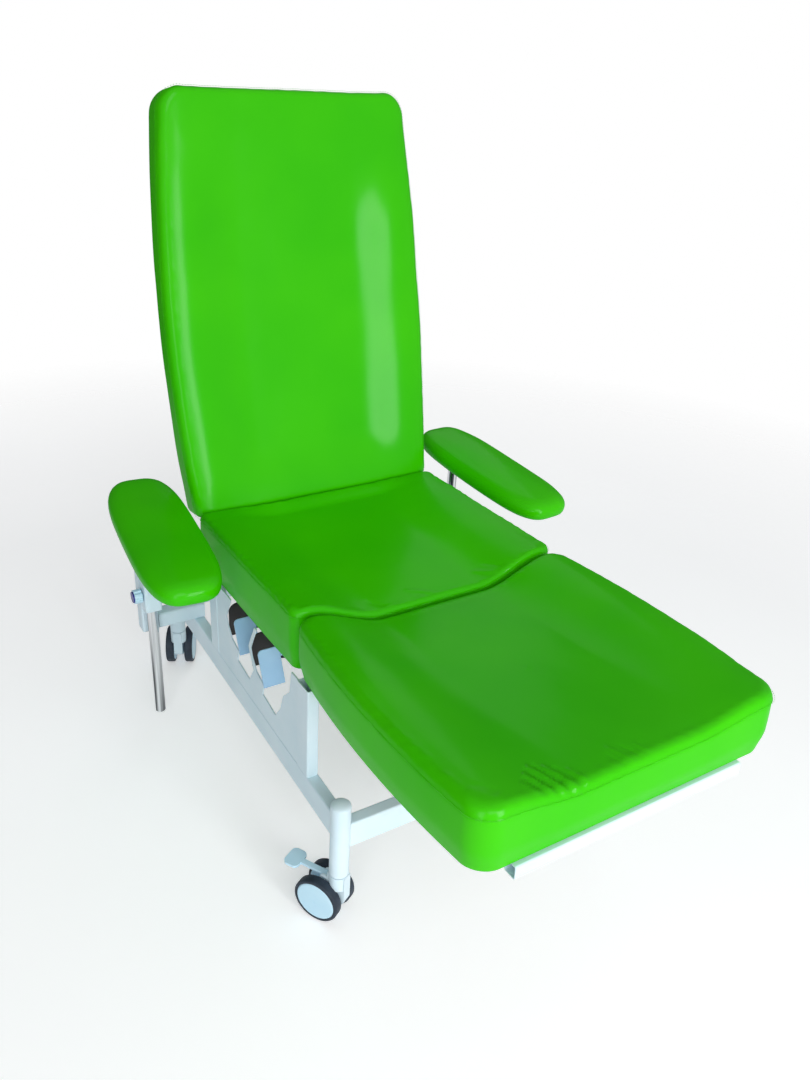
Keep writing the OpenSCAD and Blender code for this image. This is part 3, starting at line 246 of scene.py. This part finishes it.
def chrome():
    s = Shader("chrome", Metallic=1.0)
    # the dark and bright streaks along the tube in the base colour are painted reflections; the same
    # stretched coordinates give the drawn marks of the bump
    drawn_and_reflection_streaks = s.stretched(1, 1, 0.02)
    s.color(s.ramp(s.noise(85, 1, 0.4, drawn_and_reflection_streaks), linear((0.30, 0.31, 0.32)), linear((0.86, 0.87, 0.88)),
                   (0.42, 0.56)))
    s.rough(s.span(s.noise(120, 3, 0.6), 0.3, 0.7, 0.05, 0.11))
    s.bump(s.noise(300, 2, 0.5, drawn_and_reflection_streaks), 0.00003, 0.4)
    return s.mat


def plastic(name, low, high, rough):
    s = Shader(name, Specular_IOR_Level=0.5)
    s.color(s.ramp(s.noise(12, 3, 0.5), linear(low), linear(high), (0.35, 0.65)))
    s.rough(s.span(s.noise(40, 3, 0.5), 0.3, 0.7, *rough))
    s.bump(s.noise(700, 2, 0.5), 0.00004, 0.5, edge=0.0012)
    return s.mat


def rubber():
    s = Shader("tyre", Specular_IOR_Level=0.35)
    s.color(s.ramp(s.noise(45, 5, 0.6), linear((0.125, 0.165, 0.21)), linear((0.19, 0.235, 0.29)),
                   (0.3, 0.7)))
    s.rough(s.span(s.noise(60, 4, 0.6), 0.3, 0.7, 0.50, 0.68))
    s.bump(s.noise(1300, 3, 0.6), 0.0001, 0.6)
    return s.mat


def plywood():
    s = Shader("board", Specular_IOR_Level=0.3)
    along = s.stretched(3, 60, 3)
    s.color(s.ramp(s.noise(4, 6, 0.65, along), linear((0.56, 0.43, 0.29)), linear((0.72, 0.59, 0.42)),
                   (0.3, 0.7)))
    s.rough(s.span(s.noise(30, 4, 0.6), 0.3, 0.7, 0.6, 0.8))
    s.bump(s.noise(9, 5, 0.6, along), 0.0004, 0.4)
    return s.mat


MATS = {
    "green_vinyl": vinyl(),
    "white_coat": powder("white_coat", (0.84, 0.93, 0.97), (0.875, 0.95, 0.985)),
    "lever_coat": powder("lever_coat", (0.63, 0.81, 0.96), (0.68, 0.84, 0.975), (0.28, 0.38)),
    "black_coat": powder("black_coat", (0.075, 0.07, 0.07), (0.115, 0.105, 0.10), (0.38, 0.5)),
    "chrome": chrome(),
    "zinc": metal("zinc", (0.70, 0.71, 0.72), (0.28, 0.42)),
    "pale_plastic": plastic("pale_plastic", (0.76, 0.91, 0.985), (0.80, 0.93, 0.99), (0.30, 0.40)),
    "white_plastic": plastic("white_plastic", (0.84, 0.93, 0.97), (0.875, 0.95, 0.985), (0.30, 0.40)),
    "blue_cap": plastic("blue_cap", (0.03, 0.06, 0.45), (0.05, 0.10, 0.55), (0.25, 0.34)),
    "tyre": rubber(),
    "board": plywood(),
}
for part in frame["record"]["subparts"]:
    node = frame["nodes"][part["node"]]
    node.data.materials.clear()
    node.data.materials.append(MATS[part["material_slot"]])


# Mesh helpers


def smooth(x):
    """Eases from 0 to 1."""
    x = np.clip(x, 0, 1)
    return x * x * (3 - 2 * x)


def add_mesh(name, verts, faces, material, matrix=None, shade=True):
    mesh = bpy.data.meshes.new(name)
    mesh.from_pydata([tuple(v) for v in verts], [], [tuple(f) for f in faces])
    mesh.validate()
    mesh.update()
    if shade:
        mesh.polygons.foreach_set("use_smooth", [True] * len(mesh.polygons))
    mesh.materials.append(material)
    obj = bpy.data.objects.new(name, mesh)
    bpy.context.scene.collection.objects.link(obj)
    if matrix is not None:
        mesh.transform(matrix)
    return obj


def ring_faces(rings, n):
    """Faces between rings of n points each, closed by a point below the first ring and one above the last."""
    faces = []
    for j in range(rings - 1):
        for i in range(n):
            k = (i + 1) % n
            faces.append((j * n + i, j * n + k, (j + 1) * n + k, (j + 1) * n + i))
    base = rings * n
    top = (rings - 1) * n
    faces += [(base, (i + 1) % n, i) for i in range(n)]
    faces += [(base + 1, top + i, top + (i + 1) % n) for i in range(n)]
    return faces


def evenly(loop, n):
    """n points, evenly spaced along a closed loop whose first point comes again at its end."""
    step = np.hypot(*np.diff(loop, axis=0).T)
    along = np.concatenate([[0], np.cumsum(step)])
    want = np.linspace(0, along[-1], n, endpoint=False)
    return np.stack([np.interp(want, along, loop[:, 0]), np.interp(want, along, loop[:, 1])], -1)


def rounded_outline(hx, hy, low, high, n):
    """n points, evenly spaced, around a rectangle with corners of radius low at -Y and high at +Y."""
    dense = []
    for sx, sy, r, a0 in ((1, 1, high, 0), (-1, 1, high, 90), (-1, -1, low, 180), (1, -1, low, 270)):
        for s in np.linspace(0, 90, 24):
            a = math.radians(a0 + s)
            dense.append((sx * (hx - r) + r * math.cos(a), sy * (hy - r) + r * math.sin(a)))
    return evenly(np.array(dense + dense[:1]), n)


# tags of a cushion's rows, from the underside up
UNDER, ROUND, WALL, SEAM, EDGE, TOP = range(6)
# how far the walls bulge and tuck in below, where the underside's board starts, and the lower edge's radius
BULGE, TUCK, INSET, LOW_R = 0.001, 0.006, 0.043, 0.007


class Cushion:
    """A boxed cushion: an outline, a side profile, a rounded upper edge and a dished top.

    dish: its depth at the -Y and the +Y end
    bow: how much the ends stand above the middle
    corner: radius of the outline at the -Y and the +Y end
    edge: radius of the upper edge
    rim: shares of the half width between which the dish falls
    level: (end, start, stop, share) of each place where the dish fades
    roll: fall of the top at its sides
    """

    def __init__(self, widths, length, thick, dish, corner, edge, bow=0.0, rim=(0.90, 0.38), level=(),
                 roll=0.0):
        self.w, self.l, self.t, self.dish, self.bow = widths, length, thick, dish, bow
        self.corner, self.edge = corner, edge
        self.rim, self.level, self.roll = rim, level, roll

    def half(self, v):
        """Half the width at v, which runs from -1 to 1 along the length."""
        s = (v + 1) / 2
        a, b, c = self.w
        return (a * (1 - s) * (1 - 2 * s) + b * 4 * s * (1 - s) + c * s * (2 * s - 1)) / 2

    def sink(self, u, v):
        """How far the top lies below its full height at u across and v along, each from -1 to 1."""
        d = self.dish[0] + (self.dish[1] - self.dish[0]) * (v + 1) / 2
        lo, hi = self.rim[1], self.rim[0]
        for end, start, stop, share in self.level:
            d = d * (1 - share * smooth((end * v - start) / (stop - start)))
        side = np.clip((np.abs(u) - hi) / (1 - hi), 0, 1)
        return d * smooth((hi - np.abs(u)) / (hi - lo)) + self.bow * (1 - v * v) + self.roll * side ** 2

    def profile(self, fine):
        """Rows of (inset, height, drawn-in share of the outline, tag) from the underside up."""
        t, r = self.t, self.edge
        rows = [(INSET, 0.004, 1, UNDER), (INSET - 0.001, 0.0, 1, UNDER), (0.024, 0.0, 1, UNDER)]
        for a in ((0, 30, 60, 90) if fine else (0, 90)):
            a = math.radians(a)
            rows.append((TUCK + LOW_R * (1 - math.sin(a)), LOW_R * (1 - math.cos(a)), 1, ROUND))
        heights = np.linspace(0.02, t - r - 0.008, 14 if fine else 7)
        for z in heights:
            s = z / (t - r)
            d = TUCK * (1 - smooth(s / 0.45)) - BULGE * math.sin(math.pi * min(s, 1))
            rows.append((d, z, 1, WALL))
        if fine:
            for z, d, tag in ((-0.0052, 0.0, WALL), (-0.0034, 0.0001, WALL), (-0.0022, 0.0008, WALL),
                              (-0.0013, -0.0001, WALL), (-0.0006, -0.0007, SEAM), (0.0006, -0.0007, SEAM),
                              (0.0013, -0.0001, WALL), (0.0022, 0.0002, WALL)):
                rows.append((d, t - r - 0.001 + z, 1, tag))
        for a in (np.linspace(15, 90, 7) if fine else np.linspace(0, 90, 4)):
            a = math.radians(a)
            rows.append((r * (1 - math.cos(a)), t - r + r * math.sin(a), 1, EDGE))
        for k in (np.concatenate([[0.985, 0.965], np.linspace(0.945, 0.02, 56)]) if fine
                  else np.linspace(0.93, 0.06, 15)):
            rows.append((r, t, k, TOP))
        return rows

    def points(self, n, fine):
        """The points of all rings of n and of both ends, the number of rings, and each ring point's tag."""
        rows = self.profile(fine)
        hx = (self.w[0] + self.w[2]) / 4
        outline = rounded_outline(hx, self.l / 2, *self.corner, n)
        u0, v0 = outline[:, 0] / hx, outline[:, 1] / (self.l / 2)
        out = []
        for d, z, k, _ in rows:
            v = v0 * k * (1 - 2 * d / self.l)
            half = self.half(v)
            u = u0 * k * (1 - d / half)
            share = z / self.t
            out.append(np.stack([u * half, v * self.l / 2, share * (self.t - self.sink(u, v))], -1))
        pts = np.concatenate(out)
        low = np.array([[0, 0, 0.004]])
        high = np.array([[0, 0, self.t - self.sink(np.array([0.0]), np.array([0.0]))[0]]])
        return np.concatenate([pts, low, high]), len(rows), np.repeat([r[3] for r in rows], n)


PRESSURE, SIM_FRAMES = 4.0, 20
CUSHION_CAP, PAD_CAP = 0.0035, 0.0022      # longest move of a point


def inflate(name, verts, faces, pinned, cap):
    """The swelling that Blender's Cloth gives this closed form under pressure, as a move of each point."""
    obj = add_mesh(name + "_sim", verts, faces, MATS["green_vinyl"], shade=False)
    group = obj.vertex_groups.new(name="pin")
    group.add([int(i) for i in np.nonzero(pinned)[0]], 1.0, "REPLACE")
    mod = obj.modifiers.new("cloth", "CLOTH")
    c = mod.settings
    c.quality, c.mass, c.air_damping = 6, 0.35, 2.0
    c.tension_stiffness = c.compression_stiffness = 14
    c.shear_stiffness, c.bending_stiffness = 6, 0.6
    c.use_pressure, c.uniform_pressure_force = True, PRESSURE
    c.vertex_group_mass = "pin"
    c.effector_weights.gravity = 0
    mod.collision_settings.use_collision = False
    mod.collision_settings.use_self_collision = False
    mod.point_cache.frame_start, mod.point_cache.frame_end = 1, SIM_FRAMES
    scene = bpy.context.scene
    for f in range(1, SIM_FRAMES + 1):
        scene.frame_set(f)
    done = obj.evaluated_get(bpy.context.evaluated_depsgraph_get()).data
    co = np.array([v.co for v in done.vertices], float)
    scene.frame_set(1)
    mesh = obj.data
    bpy.data.objects.remove(obj)
    bpy.data.meshes.remove(mesh)
    move = co - verts
    size = np.linalg.norm(move, axis=1, keepdims=True)
    return move * (cap / np.maximum(size, cap))


def even(grid, times):
    """Evens out the moves of a grid of points, around the rings and from row to row."""
    for _ in range(times):
        grid = (np.roll(grid, 1, axis=1) + 2 * grid + np.roll(grid, -1, axis=1)) / 4
        grid[1:-1] = (grid[:-2] + 2 * grid[1:-1] + grid[2:]) / 4
    return grid


def ridge(pts, lines):
    """Height added by soft creases, each (x0, y0, x1, y1, height, half width)."""
    h = np.zeros(len(pts))
    for x0, y0, x1, y1, height, wide in lines:
        a, b = np.array([x0, y0]), np.array([x1, y1])
        d = b - a
        t = ((pts[:, :2] - a) @ d) / (d @ d)
        near = pts[:, :2] - (a + np.clip(t, 0, 1)[:, None] * d)
        dist = np.hypot(near[:, 0], near[:, 1])
        h += height * np.exp(-(dist / wide) ** 2) * np.sin(math.pi * np.clip(t * 0.9 + 0.05, 0, 1)) ** 0.5
    return h


def waves(pts, seed, size, amount):
    """A soft unevenness made of a few sine waves about size long, the same in every run."""
    rng = np.random.default_rng(seed)
    h = np.zeros(len(pts))
    for _ in range(9):
        k = rng.normal(size=3)
        k *= 2 * math.pi / (size * rng.uniform(0.7, 1.6)) / np.linalg.norm(k)
        h += np.sin(pts @ k + rng.uniform(0, 6.28))
    return h * amount / 3


COARSE_N = 160       # points around a ring in the simulated mesh


def row_places(form, rows):
    """How far along the profile each row lies, by which the rows of two meshes are matched."""
    s = []
    for d, z, k, tag in rows:
        s.append(z - d if tag <= EDGE else form.t - form.edge + (1 - k) * 0.3)
    return np.maximum.accumulate(np.array(s) + 1e-6 * np.arange(len(s)))


def swell(name, form, fine, count, n):
    """Moves the fine mesh, count rings of n points, as the simulation moves a coarser one."""
    start, rings, tags = form.points(COARSE_N, False)
    pinned = np.concatenate([tags == UNDER, [True, False]])
    move = inflate(name, start, ring_faces(rings, COARSE_N), pinned, CUSHION_CAP)
    grid = even(move[:rings * COARSE_N].reshape(rings, COARSE_N, 3), 3)
    coarse_at = row_places(form, form.profile(False))
    fine_at = row_places(form, form.profile(True))
    near = np.zeros((count, COARSE_N, 3))
    for i in range(COARSE_N):
        for a in range(3):
            near[:, i, a] = np.interp(fine_at, coarse_at, grid[:, i, a])
    at = np.arange(n) * COARSE_N / n
    low = at.astype(int)
    part = (at - low)[None, :, None]
    full = near[:, low] * (1 - part) + near[:, (low + 1) % COARSE_N] * part
    fine[:count * n] += full.reshape(-1, 3)
    fine[-1] += move[-1]


def normals(points, faces):
    """The direction out of a closed form at each point, from the four-sided faces around it."""
    normal = np.zeros_like(points)
    quads = np.array([f for f in faces if len(f) == 4])
    cross = np.cross(points[quads[:, 2]] - points[quads[:, 0]], points[quads[:, 3]] - points[quads[:, 1]])
    for c in range(4):
        np.add.at(normal, quads[:, c], cross)
    return normal / np.maximum(np.linalg.norm(normal, axis=1, keepdims=True), 1e-12)


def build_cushion(name, form, body, node, matrix, seed, lines=(), n=480, crimp=0.00025):
    """Upholstery over a cushion's solid: swollen, creased along lines, and puckered by crimp at its seam."""
    fine, count, tags = form.points(n, True)
    swell(name, form, fine, count, n)
    faces = ring_faces(count, n)
    tag = np.concatenate([tags, [UNDER, TOP]])
    soft = np.where(tag >= WALL, 1.0, 0.0)
    lift = waves(fine, seed, 0.20, 0.0006) + waves(fine, seed + 50, 0.05, 0.00008)
    pucker = waves(fine, seed + 90, 0.022, crimp) * np.isin(tag, (SEAM, EDGE))
    crease = ridge(fine, lines) * (tag >= EDGE)
    fine = fine + normals(fine, faces) * ((lift + pucker) * soft + crease)[:, None]
    obj = add_mesh(name, fine, faces, MATS["green_vinyl"], matrix)
    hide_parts(node)
    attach(obj, body)
    return fine, form.profile(True), n


# distance from stitch to stitch, the share of it that is thread, the thread's radius, and how far
# the stitches stand off the seam, outward and towards the top
STITCH_PITCH, STITCH_SHARE, STITCH_R, STITCH_OFF = 0.006, 0.62, 0.00045, 0.0035


def stitches(name, fine, rows, n, matrix, body):
    """Short stitches that follow the cushion's seam, a little off it."""
    seam = [j for j, r in enumerate(rows) if r[3] == SEAM]
    line = fine[seam[0] * n:(seam[0] + 1) * n] * 0.5 + fine[seam[1] * n:(seam[1] + 1) * n] * 0.5
    below = fine[(seam[0] - 2) * n:(seam[0] - 1) * n]
    loop = np.concatenate([line, line[:1]])
    lower = np.concatenate([below, below[:1]])
    step = np.linalg.norm(np.diff(loop, axis=0), axis=1)
    along = np.concatenate([[0], np.cumsum(step)])
    count = int(along[-1] / STITCH_PITCH)
    verts, faces = [], []
    for c in range(count):
        s0, s1 = along[-1] * c / count, along[-1] * (c + STITCH_SHARE) / count
        a = np.array([np.interp(s0, along, loop[:, k]) for k in range(3)])
        b = np.array([np.interp(s1, along, loop[:, k]) for k in range(3)])
        low = np.array([np.interp(s0, along, lower[:, k]) for k in range(3)])
        d = (b - a) / max(np.linalg.norm(b - a), 1e-9)
        down = low - a
        down = down - d * (down @ d)
        down /= max(np.linalg.norm(down), 1e-9)
        side = np.cross(d, down)
        base = len(verts)
        shift = -down * STITCH_OFF
        for end, w in ((0.0, 0.35), (0.25, 1.0), (0.75, 1.0), (1.0, 0.35)):
            centre = a + (b - a) * end + shift
            for ang in range(6):
                t = math.radians(60 * ang)
                verts.append(centre + (down * math.cos(t) + side * math.sin(t)) * STITCH_R * w)
        for e in range(3):
            for ang in range(6):
                k = (ang + 1) % 6
                faces.append((base + e * 6 + ang, base + e * 6 + k,
                              base + (e + 1) * 6 + k, base + (e + 1) * 6 + ang))
        faces.append(tuple(base + 5 - k for k in range(6)))
        faces.append(tuple(base + 18 + k for k in range(6)))
    obj = add_mesh(name, verts, faces, MATS["green_vinyl"], matrix)
    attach(obj, body)


# The three cushions

# how much shorter each upholstery is than its solid, and how far the seat's is moved back and the leg's ahead
SEAT_SHORT, LEG_SHORT, BACK_SHORT = 0.001, 0.004, 0.004
SEAT_BACK, LEG_AHEAD = 0.0015, 0.001

seat = Cushion((SEAT_W, SEAT_MID, SEAT_W), SEAT_L - SEAT_SHORT, SEAT_T, (0.048, 0.018),
               corner=(0.022, 0.014), edge=0.013, level=((1, 0.78, 1.0, 0.8),))
m_seat = ON_SEAT @ Matrix.Translation((0, SEAT_L / 2 + SEAT_BACK, -SEAT_T))
# creases: (x0, y0, x1, y1, height, half width)
seat_lines = [(0.02, -0.236, -0.035, -0.205, 0.0014, 0.005), (-0.10, -0.238, -0.13, -0.205, -0.0012, 0.006),
              (0.17, -0.236, 0.135, -0.200, 0.0015, 0.006), (0.19, -0.232, 0.165, -0.19, -0.0012, 0.006)]
sewn = build_cushion("seat_upholstery", seat, "base", "seat_cushion", m_seat, 11, seat_lines, crimp=0.0005)
stitches("seat_stitching", *sewn, m_seat, "base")

leg = Cushion((LEG_W, LEG_MID, LEG_W), LEG_L - LEG_SHORT, LEG_T, (0.020, 0.048),
              corner=(0.042, 0.030), edge=0.019)
m_leg = ON_SEAT @ Matrix.Translation((0, -LEG_GAP - LEG_L / 2 - LEG_AHEAD, -LEG_T))
# a fan of creases from the front edge, then two at the near left corner
leg_lines = [(x0 - 0.30 * run, y0 + run, x0, y0, height, 0.0030) for x0, y0, run, height in (
    (-0.205, -0.286, 0.030, 0.0018), (-0.192, -0.289, 0.040, -0.0026), (-0.180, -0.291, 0.052, 0.0034),
    (-0.169, -0.292, 0.060, -0.0036), (-0.158, -0.292, 0.066, 0.0042), (-0.147, -0.292, 0.066, -0.0038),
    (-0.136, -0.292, 0.058, 0.0034), (-0.124, -0.292, 0.048, -0.0028), (-0.112, -0.291, 0.036, 0.0018),
    (-0.040, -0.290, 0.034, -0.0012), (-0.022, -0.290, 0.046, 0.0017), (-0.004, -0.290, 0.040, -0.0014),
    (0.016, -0.290, 0.032, 0.0012))]
leg_lines += [(-0.296, -0.240, -0.262, -0.275, 0.0011, 0.0032),
              (-0.286, -0.232, -0.254, -0.266, -0.0009, 0.0032)]
sewn = build_cushion("leg_upholstery", leg, "leg_section", "leg_cushion", m_leg, 23, leg_lines, n=800)
stitches("leg_stitching", *sewn, m_leg, "leg_section")

back = Cushion((BACK_LOW, BACK_MID, BACK_TOP), BACK_H + BACK_DROP - BACK_SHORT, BACK_T, (0.026, 0.026),
               corner=(0.018, 0.045), edge=0.017, bow=0.012, roll=0.007, rim=(0.86, 0.42),
               level=((-1, 0.66, 0.97, 1.0), (1, 0.34, 0.80, 0.85)))
m_back = (ON_BACK @ Matrix.Translation((0, BACK_T, (BACK_H - BACK_DROP) / 2))
          @ Matrix.Rotation(math.pi / 2, 4, "X"))
sewn = build_cushion("back_upholstery", back, "backrest", "back_cushion", m_back, 37)
stitches("back_stitching", *sewn, m_back, "backrest")


# Armrest pads

PAD_POWER = 3.4               # of the superellipse that is the pad's outline
# height at the end of the side profile, and what the middle adds to it
PAD_EDGE, PAD_CROWN = 0.0438, 0.0062
# how far right of the solid the upholstery stands, and how far its pivot lies behind its middle
PAD_SHIFT, PAD_BACK = 0.004, 0.142
# (inset, height) from the underside up
PAD_PROFILE = [(0.030, 0.003), (0.029, 0.0), (0.012, 0.0), (0.0065, 0.0012), (0.003, 0.004), (0.001, 0.008),
               (0.0, 0.014), (0.0, 0.020), (0.0012, 0.0258), (0.0040, 0.0312), (0.0085, 0.0358),
               (0.0140, 0.0391), (0.0205, 0.0414), (0.0270, 0.0429), (0.0335, PAD_EDGE)]


def build_pad(name, side):
    """Upholstery over an armrest pad's solid, for side -1 or 1."""
    n = 200
    a = np.linspace(0, 2 * math.pi, n, endpoint=False)
    w, l = PAD_W, PAD_L
    cx = np.sign(np.cos(a)) * np.abs(np.cos(a)) ** (2 / PAD_POWER)
    cy = np.sign(np.sin(a)) * np.abs(np.sin(a)) ** (2 / PAD_POWER)
    dense = np.stack([cx * w / 2, cy * l / 2], -1)
    px, py = evenly(np.concatenate([dense, dense[:1]]), n).T
    pts = []
    for d, z in PAD_PROFILE:
        pts.append(np.stack([px * (1 - d / (w / 2)), py * (1 - d / (l / 2)), np.full(n, z)], -1))
    d = PAD_PROFILE[-1][0]
    for k in np.linspace(0.94, 0.03, 24):
        pts.append(np.stack([px * (1 - d / (w / 2)) * k, py * (1 - d / (l / 2)) * k,
                             PAD_EDGE + PAD_CROWN * (1 - np.full(n, k) ** 2)], -1))
    count = len(pts)
    verts = np.concatenate(pts + [np.array([[0, 0, 0.003]]), np.array([[0, 0, PAD_EDGE + PAD_CROWN]])])
    faces = ring_faces(count, n)
    pinned = np.zeros(len(verts), bool)
    pinned[:3 * n] = True
    pinned[-2] = True
    move = inflate(name, verts, faces, pinned, PAD_CAP)
    grid = even(move[:count * n].reshape(count, n, 3), 12)
    verts = verts + np.concatenate([grid.reshape(-1, 3), move[-2:]])
    still = np.zeros(len(verts))
    verts = verts + np.stack([still, still, waves(verts, 5 + side, 0.12, 0.0005)], -1)
    matrix = Matrix.Translation((PAD_SHIFT, 0, 0)) @ on_arm(side) @ Matrix.Translation((0, -PAD_BACK, 0))
    obj = add_mesh(name, verts, faces, MATS["green_vinyl"], matrix)
    where = "left" if side < 0 else "right"
    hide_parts("arm_pad_" + where)
    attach(obj, "armrest_" + where)


build_pad("arm_upholstery_left", -1)
build_pad("arm_upholstery_right", 1)


# Stage and light

FLOOR = 5                    # half the side of the floor
FADE = (1.6, 3.4)            # distance from the chair over which the floor fades away


def make_floor():
    s = Shader("floor", Specular_IOR_Level=0.1, Roughness=0.8)
    s.color(s.ramp(s.noise(1.5, 2, 0.5), linear((0.962, 0.965, 0.967)), linear((0.972, 0.975, 0.977)),
                   (0.3, 0.7)))
    # seen by the camera or in a reflection the floor is white, and it keeps the chair's shadow
    shown = s.node("Emission", Color=(1, 1, 1, 1))
    s.link(s.span(s.seen_rays(), 0.0, 1.0, 0.0, 0.33), shown.inputs["Strength"])
    lit = s.node("AddShader")
    s.link(s.bsdf.outputs[0], lit.inputs[0])
    s.link(shown.outputs[0], lit.inputs[1])
    # it fades into the white backdrop well away from the chair
    away = s.node("VectorMath", operation="LENGTH")
    s.link(s.coords, away.inputs[0])
    fade = s.span(away.outputs["Value"], *FADE, 0.0, 1.0)
    clear = s.node("BsdfTransparent")
    s.link(s.mixed(fade, lit.outputs[0], clear.outputs[0]), s.nodes["Material Output"].inputs["Surface"])
    corners = [(-FLOOR, -FLOOR, 0), (FLOOR, -FLOOR, 0), (FLOOR, FLOOR, 0), (-FLOOR, FLOOR, 0)]
    add_floor = add_mesh("floor", corners, [(0, 1, 2, 3)], s.mat, shade=False)


BACKDROP = (0.08, 0.80)      # how bright reflections show it, behind the chair and in front of it
SKY = (0.23, 0.46)           # strength of the light it gives, the same way


def make_world():
    world = bpy.data.worlds.new("world")
    bpy.context.scene.world = world
    world.use_nodes = True
    w = Nodes(world.node_tree)
    w.nodes.clear()
    light = w.node("Background", Color=(0.95, 0.975, 1.0, 1))
    seen = w.node("Background", Color=(1, 1, 1, 1))
    # in reflections the white backdrop falls off behind the chair, as a lit studio does
    facing = w.node("VectorMath", operation="DOT_PRODUCT")
    facing.inputs[1].default_value = (0.25, -0.92, 0.30)
    w.link(w.node("TexCoord").outputs["Generated"], facing.inputs[0])
    fall = w.span(facing.outputs["Value"], -0.4, 0.5, *BACKDROP)
    w.link(w.highest(fall, w.node("LightPath").outputs["Is Camera Ray"]), seen.inputs["Strength"])
    w.link(w.span(fall, *BACKDROP, *SKY), light.inputs["Strength"])
    w.link(w.mixed(w.seen_rays(), light.outputs[0], seen.outputs[0]), w.node("OutputWorld").inputs["Surface"])


def aim(obj, place, target):
    obj.location = place
    obj.rotation_euler = (Vector(target) - Vector(place)).to_track_quat("-Z", "Y").to_euler()
    bpy.context.scene.collection.objects.link(obj)


def area(name, place, target, size, power):
    data = bpy.data.lights.new(name, "AREA")
    data.shape = "RECTANGLE"
    data.size, data.size_y = size
    data.energy = power
    aim(bpy.data.objects.new(name, data), place, target)


def sun(name, place, strength, angle):
    data = bpy.data.lights.new(name, "SUN")
    data.energy, data.angle = strength, math.radians(angle)
    aim(bpy.data.objects.new(name, data), place, (0, 0, 0))


make_floor()
make_world()
sun("key", (-0.9, -3.0, 1.9), 0.65, 30)
area("strip", (0.20, -3.0, 1.18), (0.2, 0.6, 0.93), (0.80, 1.85), 40)
area("side_strip", (-1.9, -1.9, 1.0), (0, 0.1, 0.6), (0.6, 1.5), 10)
area("window", (1.15, 1.85, 1.9), (0.1, 0.1, 0.6), (1.3, 1.6), 5)
bpy.context.scene.view_settings.view_transform = "Standard"
